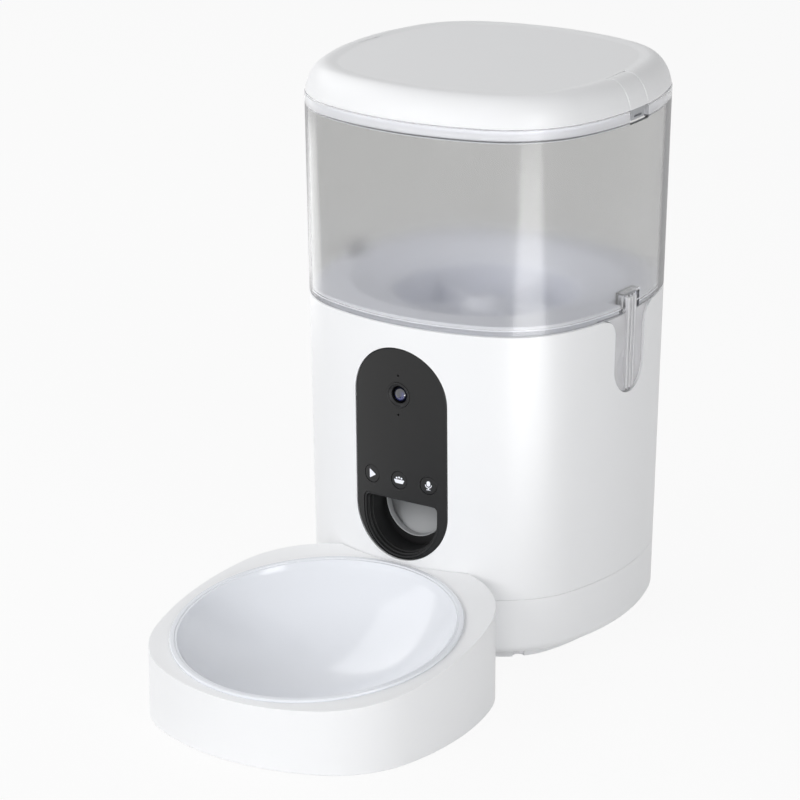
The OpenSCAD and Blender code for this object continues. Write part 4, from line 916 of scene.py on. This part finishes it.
class FeederBottomCover(bpy.types.Operator):
    """Models the bottom cover with its round lower edge, foot ring and battery bay"""
    bl_idname = "feeder.bottom_cover"
    bl_label = "Bottom cover"

    def execute(self, context):
        s = sizes()
        wall, curve, edge = s.shell_wall, s.skirt_round, s.edge_round
        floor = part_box("bottom_cover")[0].z
        top = BASE_LOW - SEAM / 4
        foot = lean(floor) - s.foot_inset
        ring = floor + s.foot_ring
        low_edge = ring + curve
        side = lean(low_edge)
        inner = foot - 6 * MM
        under = rounded([
            (inner, floor), (foot, floor, edge), (foot, ring, edge / 2), (side - curve, ring)])
        inside = rounded([
            (side, low_edge), (lean(top), top, edge / 3), (lean(top) - wall, top, edge / 2),
            (side - wall, low_edge + wall), (foot + wall, ring + wall), (inner, floor + wall)])
        cover = sweep("bottom_skirt", body_plan(), under + arc(
            (side - curve, low_edge), curve, -86, 0, 12) + inside[1:], closed=False)
        door_low, door_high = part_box("battery_door")
        clear = Vector((0.3, 0.3, 0)) * MM
        through = Vector((0, 0, 5 * MM))
        cut(cover, block("door_hole", door_low - clear - through, door_high + clear + through))
        self.wells(cover, "rubber_feet", 8 * MM, 0.1 * MM, 1 * MM)
        self.wells(cover, "base_screws", 3 * MM, 0.3 * MM, 9 * MM)
        half, gap, front = TAB_HALF + 0.4 * MM, 0.3 * MM, BODY_Y - s.half_width
        for x in (-TAB_X, TAB_X):
            cut(cover, block("tab_slot", (x - half, front - 9 * MM, s.tab_height - gap),
                             (x + half, front + 9 * MM, s.tab_height + TAB_THICK + gap)))
        cells_low, cells_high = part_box("batteries")
        room = Vector((1.5, 3.0, 0)) * MM
        bay = block("cell_bay", cells_low - 2.2 * room, cells_high + 2.2 * room + Vector((0, 0, 2.6 * MM)))
        cut(bay, block("cell_room", cells_low - room - through,
                       cells_high + room + Vector((0, 0, 0.6 * MM))))
        dress(join(cover, bay), "base", "white_shell", "bottom_cover")
        return {"FINISHED"}

    def wells(self, cover, node, radius, clear, reach):
        """Cuts round wells into the cover about the four solids of a node, one in each corner."""
        low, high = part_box(node)
        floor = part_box("bottom_cover")[0].z
        for y in (low.y + radius, high.y - radius):
            for x in (low.x + radius, high.x - radius):
                cut(cover, rod("well", (x, y, floor), radius + clear, 2, reach))


class FeederPanel(bpy.types.Operator):
    """Models the black camera panel with the holes for lens, microphone, buttons and mouth"""
    bl_idname = "feeder.panel"
    bl_label = "Camera panel"

    def execute(self, context):
        s = sizes()
        panel = soft_slab("camera_panel", lambda grow: stadium(s.panel_half, PANEL_LOW, PANEL_HIGH, grow),
                          s.panel_sink, s.panel_sink + 2.4 * MM, s.panel_edge)
        gap, pin_apart, pin_radius = 0.1 * MM, 10.9 * MM, 0.6 * MM
        lens = middle("camera_lens")
        holes = [mouth_outline(gap), disc((0, lens.z), s.ring_radius + gap, 64)]
        holes += [disc((0, lens.z + side * pin_apart), pin_radius, 16) for side in (-1, 1)]
        holes += [disc((spot.x, spot.z), s.button_radius + 0.15 * MM) for spot in map(middle, BUTTONS)]
        for outline in holes:
            cut(panel, slab("panel_hole", outline, -3 * MM, 6 * MM))
        face_depth = s.panel_sink + 0.01 * MM
        mouth_top = MOUTH_HIGH + 0.4 * MM
        soften(panel, 0.5 * MM, lambda spot: spot.y < face_depth and spot.z < mouth_top
               and abs(spot.x) < s.mouth_half + 0.3 * MM, 3)
        soften(panel, 0.2 * MM, lambda spot: spot.y < face_depth and spot.z > mouth_top
               and abs(spot.x) < s.panel_half - 1.5 * MM)
        activate(panel)
        bpy.ops.object.mode_set(mode="EDIT")
        folds, pitch = 14, 2.03 * MM
        for fold in range(-folds, folds + 1):
            bpy.ops.mesh.select_all(action="SELECT")
            bpy.ops.mesh.bisect(plane_co=(fold * pitch, 0, 0), plane_no=(1, 0, 0))
        bpy.ops.object.mode_set(mode="OBJECT")
        dress(wrap(panel, 0), "base", "black_panel", "front_panel")
        return {"FINISHED"}


class FeederMouth(bpy.types.Operator):
    """Models the stepped black tunnel of the food mouth and the lip of the chute behind it"""
    bl_idname = "feeder.mouth"
    bl_label = "Food mouth"

    def execute(self, context):
        s = sizes()
        # growth of the mouth's outline and depth behind the face, in millimetres
        steps = ((0, 18.4), (0, 0.95), (-0.12, 0.67), (-0.4, 0.55), (-0.9, 0.55), (-1.15, 0.65),
                 (-1.3, 0.95), (-1.35, 2.2), (-1.45, 2.35), (-2.1, 2.4), (-2.25, 2.55), (-2.3, 4.2),
                 (-2.4, 4.4), (-3.0, 4.45), (-3.1, 4.6), (-3.4, 16.2))
        tunnel = loft("food_mouth", [
            [(x, depth * MM, z) for x, z in mouth_outline(grow * MM)] for grow, depth in steps])
        hole_at, ceiling = (0, PANEL_LOW + 27.3 * MM), PANEL_LOW + 30.9 * MM
        hole = [(x, min(z, ceiling)) for x, z in disc(hole_at, s.hole_radius, 96)]
        cut(tunnel, slab("chute_hole", hole, 12 * MM, 30 * MM))
        dress(wrap(tunnel, 0), "base", "black_inner", "chute_collar")
        radius, thick = s.hole_radius - 0.2 * MM, 0.7 * MM
        start, end, near, far = 168, 372, 15.2 * MM, 18.6 * MM
        lip = slab("chute_lip", arc(hole_at, radius, start, end, 80)
                   + arc(hole_at, radius - thick, end, start, 80), near, far)
        soften(lip, 0.25 * MM, lambda spot: spot.y < near + 0.1 * MM)
        dress(wrap(lip, 0), "base", "grey_plastic")
        return {"FINISHED"}


class FeederCamera(bpy.types.Operator):
    """Models the camera's ring and its domed lens"""
    bl_idname = "feeder.camera"
    bl_label = "Camera"

    def execute(self, context):
        s = sizes()
        spot = (0, 0, middle("camera_lens").z)
        out, lens = s.ring_radius, s.lens_radius
        near, far = -0.1 * MM, 6 * MM
        ring = revolve("camera_ring", rounded([
            (out, far), (out, near, 0.35 * MM), (lens + 1.5 * MM, near, 0.25 * MM),
            (lens + 1.3 * MM, 0.5 * MM, 0.2 * MM), (lens + 0.2 * MM, 1.3 * MM), (lens + 0.15 * MM, far)]),
            spot, 1, closed=True)
        dress(wrap(ring, 0), "base", "black_inner", "camera_bezel")
        dome, top, bottom, steps = 5 * MM, 0.4 * MM, 4 * MM, 14
        radii = [lens * i / steps for i in range(steps + 1)]
        line = [(radius, top + dome - math.sqrt(dome ** 2 - radius ** 2)) for radius in radii]
        glass = revolve("camera_glass", line + [(lens, bottom), (0, bottom)], spot, 1)
        dress(wrap(glass, 0), "base", "lens_glass", "camera_lens")
        return {"FINISHED"}


class FeederButtons(bpy.types.Operator):
    """Models the three panel buttons and their printed symbols"""
    bl_idname = "feeder.buttons"
    bl_label = "Buttons"

    def execute(self, context):
        # the symbols are drawn in millimetres about their button's middle
        bowl = rounded([(-3.3, 0.3, 0.25), (-2.3, -1.8, 0.6), (2.3, -1.8, 0.6), (3.3, 0.3, 0.25)])
        grains = [disc((x, z), 0.55, 20) for x, z in ((-1.5, 1.15), (0, 1.5), (1.5, 1.15))]
        play = rounded([(-1.7, -2.7, 0.35), (2.5, 0, 0.35), (-1.7, 2.7, 0.35)])
        capsule = stadium(1.05, -0.4, 2.6, steps=14)
        cradle = arc((0, 0.5), 1.95, 180, 360, 20) + arc((0, 0.5), 1.5, 360, 180, 20)
        stem, stand = upright(0.22, -2.3, -1.3), upright(1.1, -2.5, -2.1)
        symbols = ([play], [bowl] + grains, [capsule, cradle, stem, stand])
        for name, node, outlines in zip(("play", "feed", "talk"), BUTTONS, symbols):
            self.button(name, node, outlines)
        return {"FINISHED"}

    def button(self, name, node, outlines):
        """One button with its symbol."""
        radius, spot = sizes().button_radius, middle(node)
        top, bottom = 0.42 * MM, 5 * MM
        key = revolve(name + "_key", rounded([
            (0, top), (radius - MM, top), (radius, top, 0.35 * MM), (radius, bottom), (0, bottom)]),
            (spot.x, 0, spot.z), 1, steps=64)
        dress(wrap(key, 0), node, "black_panel", node)
        marks = [slab(name + "_symbol", [(spot.x + x * MM, spot.z + z * MM) for x, z in outline],
                      0.35 * MM, 0.6 * MM) for outline in outlines]
        dress(wrap(join(*marks), 0), node, "white_inner")


class FeederHopper(bpy.types.Operator):
    """Models the clear hopper with its rim band, spigot, hook pockets and lid notches"""
    bl_idname = "feeder.hopper"
    bl_label = "Hopper"

    def execute(self, context):
        s = sizes()
        low, top, wall, edge = SEAM_Z + SEAM / 2, HOPPER_HIGH, s.hopper_wall, s.edge_round
        flange = low + 2.3 * MM
        rim_low = top - s.rim_height
        spigot_out = -s.shell_wall - 0.4 * MM
        spigot_in = spigot_out - wall
        hopper = sweep("clear_hopper", body_plan(), rounded([
            (lean(low), low, edge), (lean(top), top, edge), (lean(top) - s.rim_thick, top, edge),
            (lean(rim_low) - s.rim_thick, rim_low, edge),
            (lean(rim_low) - wall, rim_low - s.rim_thick + wall, edge),
            (lean(flange) - wall, flange, 1.5 * MM), (spigot_in, flange, edge),
            (spigot_in, HOPPER_LOW, edge / 2), (spigot_out, HOPPER_LOW, edge / 2), (spigot_out, low)]))
        hook = s.hook_half + 0.8 * MM
        hook_top = SEAM_Z + s.hook_height + 0.8 * MM
        flare = s.latch_half + s.latch_shoulder + 2 * MM
        strip = s.strip_half + 0.4 * MM
        under = HOPPER_LOW - MM
        rooms = (("pocket", upright(hook + MM, low, hook_top + MM), 1.1, 6.8, "UNION"),
                 ("hook_room", upright(hook, under, hook_top), -9, 5.8, "DIFFERENCE"),
                 ("flare_room", upright(flare, under, low), -9, 12.1, "DIFFERENCE"),
                 ("lid_notch", upright(strip, top - 7 * MM, top + 3 * MM), -9, 7.5, "DIFFERENCE"))
        for quarter in SIDES:
            for name, outline, near, far, operation in rooms:
                recess(hopper, quarter, name, outline, near * MM, far * MM, operation)
        soften(hopper, 0.3 * MM, self.on_cut)
        dress(hopper, "hopper", "clear_hopper", "hopper")
        return {"FINISHED"}

    def on_cut(self, spot):
        """True on the outer rims of the hook rooms and lid notches."""
        out = abs(spot.x) - face(spot.y - BODY_Y, spot.z)
        return out > -0.3 * MM and spot.z > SEAM_Z + MM


class FeederFunnel(bpy.types.Operator):
    """Models the hopper's pale floor with its funnel, and the skirt below its rim"""
    bl_idname = "feeder.funnel"
    bl_label = "Hopper floor"

    def execute(self, context):
        s = sizes()
        floor_low, floor_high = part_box("funnel_deck")
        low, top, edge = floor_high.z - 2.5 * MM, floor_high.z, 0.4 * MM
        rim = lean(low) - s.hopper_wall - 0.3 * MM
        inner = rim - 6 * MM
        floor = sweep("hopper_floor", body_plan(), [
            (inner, low), (rim, low), (rim, top - edge), (rim - edge, top), (inner, top)], closed=False)
        for quarter in SIDES:
            recess(floor, quarter, "pocket_room",
                   upright(s.hook_half + 3.5 * MM, low - MM, top + MM), -MM, 11 * MM)
        throat, neck, outer, step = 50 * MM, floor_low.z, 76 * MM, 0.02 * MM
        foot, bend, lip = throat + 9 * MM, outer - 2 * MM, outer + MM
        cut(floor, rod("funnel_hole", (0, BODY_Y, top), outer, 2, 9 * MM, 128))
        funnel = revolve("funnel", rounded([
            (throat, neck), (throat, neck + 3.2 * MM, 2 * MM), (bend, top, 6 * MM), (lip, top - step),
            (lip, low + 0.3 * MM), (bend, low + 0.1 * MM), (foot, neck + 2.2 * MM), (foot, neck)], 6),
            (0, BODY_Y, 0), 2, 128, closed=True)
        cut(floor, funnel, "UNION")
        skirt_low, skirt_top = HOPPER_LOW + 0.3 * MM, low - step
        skirt_out = -s.shell_wall - s.hopper_wall - 0.7 * MM
        skirt_in = skirt_out - 2 * MM
        skirt = sweep("floor_skirt", body_plan(), [
            (skirt_out, skirt_low), (skirt_out, skirt_top), (skirt_in, skirt_top), (skirt_in, skirt_low)])
        for quarter in SIDES:
            recess(skirt, quarter, "latch_room", upright(9 * MM, skirt_low - MM, top), -MM, 14 * MM)
        dress(skirt, "hopper", "white_inner")
        dress(floor, "hopper", "white_inner", "funnel_deck")
        return {"FINISHED"}


class FeederHopperLatches(bpy.types.Operator):
    """Models the two clear ribbed latch tongues with their hooks"""
    bl_idname = "feeder.hopper_latches"
    bl_label = "Hopper latches"

    def execute(self, context):
        s = sizes()
        top, hook_top = SEAM_Z - 0.7 * MM, SEAM_Z + s.hook_height
        near, thick, edge = 1.2 * MM, 3 * MM, 0.6 * MM
        tongue = soft_slab("clear_latch_right", lambda grow: tongue_outline(grow, top + grow),
                           near, near + thick, edge)
        cut(tongue, revolve("dish", self.dish(), (0, near, LATCH_LOW + s.latch_half), 1, 96))
        stem = soft_slab("stem", lambda grow: self.strip(
            0, s.hook_half, LATCH_LOW + 20 * MM, hook_top, grow), 1.5 * MM, near + thick - 0.2 * MM, edge)
        cut(tongue, stem, "UNION")
        for side in (-1, 0, 1):
            rib = soft_slab("rib", lambda grow: self.strip(
                side * s.rib_gap, s.rib_half, LATCH_LOW + 2.3 * MM, hook_top - 0.9 * MM, grow),
                -0.35 * MM, near + 1.9 * MM, 0.7 * MM)
            cut(tongue, rib, "UNION")
        bar_half, bar_in = s.hook_half - 0.3 * MM, 4.9 * MM
        bar = block("hook_bar", (-bar_half, near + thick / 2, hook_top - 2.3 * MM),
                    (bar_half, bar_in, hook_top - 0.3 * MM))
        cut(tongue, soften(bar, 0.35 * MM, lambda spot: spot.y > bar_in - 0.4 * MM), "UNION")
        pivot = (0, 5.6 * MM, SEAM_Z - 10.5 * MM)
        for name, radius, past in (("boss", 3.1, -2), ("pin", 2, 2.4)):
            cut(tongue, rod(name, pivot, radius * MM, 0, s.latch_half + past * MM), "UNION")
        twin = copy(tongue, "clear_latch_left")
        for piece, quarter, node in zip((tongue, twin), SIDES, ("hopper_latch_right", "hopper_latch_left")):
            dress(wrap(piece, quarter), node, "clear_hopper", node, finish="clear_latch")
        return {"FINISHED"}

    def strip(self, x, half, low, high, grow):
        """Outline of an upright strip with a round top."""
        half += grow
        bend = min(half * 0.9, 2.2 * MM)
        return rounded([(x + half, low - grow), (x + half, high + grow, bend), (x - half, high + grow, bend),
                        (x - half, low - grow)])

    def dish(self):
        """Section of the round finger dish, from its middle out to above the tongue's face."""
        radius, depth, lip, steps = sizes().finger_radius, 1.1 * MM, 0.4 * MM, 16
        ball = (radius ** 2 + depth ** 2) / (2 * depth)
        reach = math.asin(radius / ball)
        bottom = [(ball * math.sin(reach * i / steps), depth - ball * (1 - math.cos(reach * i / steps)))
                  for i in range(steps + 1)]
        return bottom + [(radius + lip, -0.15 * MM), (radius + 2 * lip, -MM), (0, -MM)]


class FeederLid(bpy.types.Operator):
    """Models the white lid and its two push strips with their hooks"""
    bl_idname = "feeder.lid"
    bl_label = "Lid and push strips"

    def execute(self, context):
        half, end, slit, edge = sizes().strip_half, 13.7 * MM, 0.1 * MM, 0.6 * MM
        lid = sweep("lid_top", body_plan(), self.profile(), closed=False)
        strips = [copy(lid, "lid_push_" + side) for side in ("right", "left")]
        for quarter, strip in zip(SIDES, strips):
            cut(strip, self.window(quarter, half - slit, end - slit), "INTERSECT")
            cut(lid, self.window(quarter, half, end))
        soften(lid, edge, lambda spot: spot.y > BODY_Y and self.on_slit(spot, half, end), 1, False)
        for quarter, strip, node in zip(SIDES, strips, ("lid_latch_right", "lid_latch_left")):
            soften(strip, edge, lambda spot: spot.y < BODY_Y
                   and self.on_slit(spot, half - slit, end - slit), 1, False)
            hook = wrap(self.hook(), quarter)
            dress(join(strip, hook), node, "white_shell", node, finish="white_push")
        dress(lid, "lid", "white_shell", "lid_shell")
        return {"FINISHED"}

    def hook(self):
        """The hook under a push strip, drawn flat, with a dash-shaped hole."""
        half, bend = sizes().strip_half - 2.5 * MM, 0.8 * MM
        low, high = HOPPER_HIGH - 5.6 * MM, HOPPER_HIGH + 1.5 * MM
        sink = 1.3 * MM - (lean(HOPPER_HIGH) - lean(low)) / 2
        hook = soft_slab("hook", lambda grow: rounded([
            (half + grow, low - grow, bend), (half + grow, high + grow), (-half - grow, high + grow),
            (-half - grow, low - grow, bend)]), sink, 3.1 * MM, 0.3 * MM)
        dash = rounded(upright(4 * MM, low + 1.3 * MM, low + 2.5 * MM, 0.5 * MM))
        return cut(hook, slab("dash", dash, -MM, 4 * MM))

    def profile(self):
        """Section of the lid from the middle of its underside round to the middle of its top."""
        s = sizes()
        width, drop, wall = s.shoulder_width, s.shoulder_drop, s.shell_wall
        rise = LID_HIGH - HOPPER_HIGH + drop
        ridge = lean(HOPPER_HIGH) - width

        def shoulder(inset):
            start = math.asin((drop + LID_LOW - HOPPER_HIGH) / (rise - inset))
            turns = [start + (math.pi / 2 - start) * i / 30 for i in range(31)]
            return [(ridge + (width - inset) * math.cos(t),
                     HOPPER_HIGH - drop + (rise - inset) * math.sin(t)) for t in turns]

        outer, inner = shoulder(0), shoulder(wall)
        lip = rounded([inner[0], (inner[0][0], LID_LOW), (outer[0][0], LID_LOW, 0.5 * MM), outer[2]])[1:-1]
        run = 6 * MM
        dish = [(ridge - run * i / 10, LID_HIGH - s.lid_dish * (1 - math.cos(math.pi * i / 10)) / 2)
                for i in range(1, 11)]
        flat = LID_HIGH - s.lid_dish - wall
        return [(ridge - run, flat), (ridge - 2 * MM, flat)] + inner[::-1][1:] + lip + outer[2:] + dish

    def window(self, quarter, half, end):
        """A block over a push strip."""
        return wrap(block("window", (-half, -6 * MM, LID_LOW - 4 * MM), (half, end, LID_HIGH + 4 * MM)),
                    quarter, False)

    def on_slit(self, spot, half, end):
        """True on the edges of a push strip's slit in the lid's top side."""
        s, near, slack = sizes(), 0.05 * MM, 0.1 * MM
        across, out = abs(spot.y - BODY_Y), abs(spot.x)
        on_side = abs(across - half) < near and out > s.half_width - end - slack
        on_end = abs(out - s.half_width + end) < near and across < half + slack
        inward = (face(0, HOPPER_HIGH) - out) / s.shoulder_width
        rise = LID_HIGH - HOPPER_HIGH + s.shoulder_drop
        top = HOPPER_HIGH - s.shoulder_drop + rise * math.sqrt(max(0.0, 1 - max(0.0, 1 - inward) ** 2))
        return (on_side or on_end) and top - spot.z < 1.4 * MM


def tray_middle():
    """Place of the tray's middle along the depth."""
    return TRAY_LOW.y + sizes().tray_half_length


def tilt_to_slope(piece):
    """Lays a piece drawn about the origin on the tray's slope where the bowl sits."""
    s = sizes()
    bowl_y = TRAY_LOW.y + s.bowl_radius + 1.6 * MM
    height = s.tray_height + math.tan(s.tray_slope) * (bowl_y - tray_middle())
    place = Matrix.Translation((0, bowl_y, height)) @ Matrix.Rotation(s.tray_slope, 4, "X")
    for vert in piece.data.vertices:
        vert.co = place @ vert.co
    return piece


class FeederTray(bpy.types.Operator):
    """Models the white tray with its sloped top and the seat for the bowl"""
    bl_idname = "feeder.tray"
    bl_label = "Tray"

    def execute(self, context):
        s = sizes()
        brim, wall, bottom = s.tray_brim, s.shell_wall, TRAY_LOW.z - 1.1 * MM
        plan = Plan((TRAY_HIGH.x - TRAY_LOW.x) / 2 + brim, s.tray_half_length + brim,
                    s.tray_side_radius + brim, s.tray_turn, tray_middle())
        tray = self.prism("bowl_tray", plan, 0, bottom, s.tray_height, s.edge_round)
        hollow = self.prism("tray_room", plan, -wall, bottom - 3 * MM, s.tray_height - 2.5 * MM, 0)
        gap = lean(s.tray_height) + 0.6 * MM
        cut(tray, tilt_to_slope(rod("bowl_seat", (0, 0, 0), s.bowl_radius - 2.4 * MM, 2, 60 * MM, 160)))
        cut(tray, self.body_space(gap, MM))
        cut(hollow, self.body_space(wall + gap, 0))
        cut(tray, hollow)
        soften(tray, 0.5 * MM, lambda spot: spot.z > s.tray_height - 14 * MM)
        for x in (-TAB_X, TAB_X):
            tab = block("tab", (x - TAB_HALF, BODY_Y - 92 * MM, s.tab_height),
                        (x + TAB_HALF, TRAY_HIGH.y, s.tab_height + TAB_THICK))
            join(tray, soften(tab, 0.5 * MM, lambda spot: True))
        dress(tray, "tray", "white_shell", "tray")
        return {"FINISHED"}

    def body_space(self, out, margin):
        """A solid on the body's outline that reaches past the tray's bottom and top."""
        low, high = -20 * MM - margin, TRAY_REACH + margin
        return sweep("body_space", body_plan(), [
            (-20 * MM, low), (out, low), (out, high), (-20 * MM, high)], closed=False)

    def prism(self, name, plan, grow, low, height, edge):
        """The tray's outline raised from its bottom and cut off by the slope."""
        slope, inner = sizes().tray_slope, grow - 20 * MM
        corner = (grow, low, edge) if edge else (grow, low)
        piece = sweep(name, plan, rounded([
            (inner, low), corner, (grow, TRAY_REACH), (inner, TRAY_REACH)]), closed=False)
        activate(piece)
        bpy.ops.object.mode_set(mode="EDIT")
        bpy.ops.mesh.select_all(action="SELECT")
        bpy.ops.mesh.bisect(plane_co=(0, plan.y, height), plane_no=(0, -math.sin(slope), math.cos(slope)),
                            clear_outer=True, use_fill=True)
        return settle()


class FeederBowl(bpy.types.Operator):
    """Models the white lift-out bowl with its double rim"""
    bl_idname = "feeder.bowl"
    bl_label = "Bowl"

    def execute(self, context):
        s = sizes()
        rim, opening, depth, fold = s.bowl_radius, s.bowl_radius - 4 * MM, s.bowl_depth, 1.2 * MM
        rim_top, rim_low = 1.6 * MM, 0.05 * MM
        ledge = rim_top - 0.5 * MM
        ball = (opening ** 2 + depth ** 2) / (2 * depth)
        inner = self.section(ball, opening, ball - depth)
        outer = self.section(ball + s.bowl_wall, opening + fold, ball - depth)
        lip = rounded([
            inner[-2], (opening + 0.1 * MM, ledge, 0.4 * MM), (opening + fold, ledge, 0.2 * MM),
            (opening + 1.5 * MM, rim_top, 0.4 * MM), (rim, rim_top, 0.7 * MM), (rim, rim_low, 0.3 * MM),
            (opening + 1.6 * MM, rim_low), outer[-1]])[1:-1]
        bowl = revolve("food_bowl", inner[:-1] + lip + outer[::-1], (0, 0, 0), 2, 160)
        dress(tilt_to_slope(bowl), "bowl", "white_bowl", "bowl")
        return {"FINISHED"}

    def section(self, ball, radius, centre, steps=40):
        """Section of a ball's bottom from its middle out to a radius."""
        reach = math.asin(radius / ball)
        return [(ball * math.sin(reach * i / steps), centre - ball * math.cos(reach * i / steps))
                for i in range(steps + 1)]


class FeederPanelProperties(bpy.types.Panel):
    """Lists the feeder's pieces and their sizes and colours"""
    bl_idname = "VIEW3D_PT_feeder"
    bl_label = "Feeder"
    bl_space_type = "VIEW_3D"
    bl_region_type = "UI"
    bl_category = "Feeder"

    def draw(self, context):
        for operator in OPERATORS:
            self.layout.operator(operator.bl_idname)
        for group in (context.scene.feeder_sizes, context.scene.feeder_colours):
            for name in group.__annotations__:
                self.layout.prop(group, name)


OPERATORS = (FeederStage, FeederInnerParts, FeederBase, FeederBottomCover, FeederPanel, FeederMouth,
             FeederCamera, FeederButtons, FeederHopper, FeederFunnel, FeederHopperLatches, FeederLid,
             FeederTray, FeederBowl)
CLASSES = (FeederSizes, FeederColours) + OPERATORS + (FeederPanelProperties,)


def register():
    for kind in CLASSES:
        bpy.utils.register_class(kind)
    bpy.types.Scene.feeder_sizes = bpy.props.PointerProperty(type=FeederSizes)
    bpy.types.Scene.feeder_colours = bpy.props.PointerProperty(type=FeederColours)


def unregister():
    del bpy.types.Scene.feeder_colours
    del bpy.types.Scene.feeder_sizes
    for kind in reversed(CLASSES):
        bpy.utils.unregister_class(kind)


def main():
    """Makes every piece in order."""
    register()
    for operator in OPERATORS:
        group, name = operator.bl_idname.split(".")
        getattr(getattr(bpy.ops, group), name)()


if __name__ == "__main__":
    main()
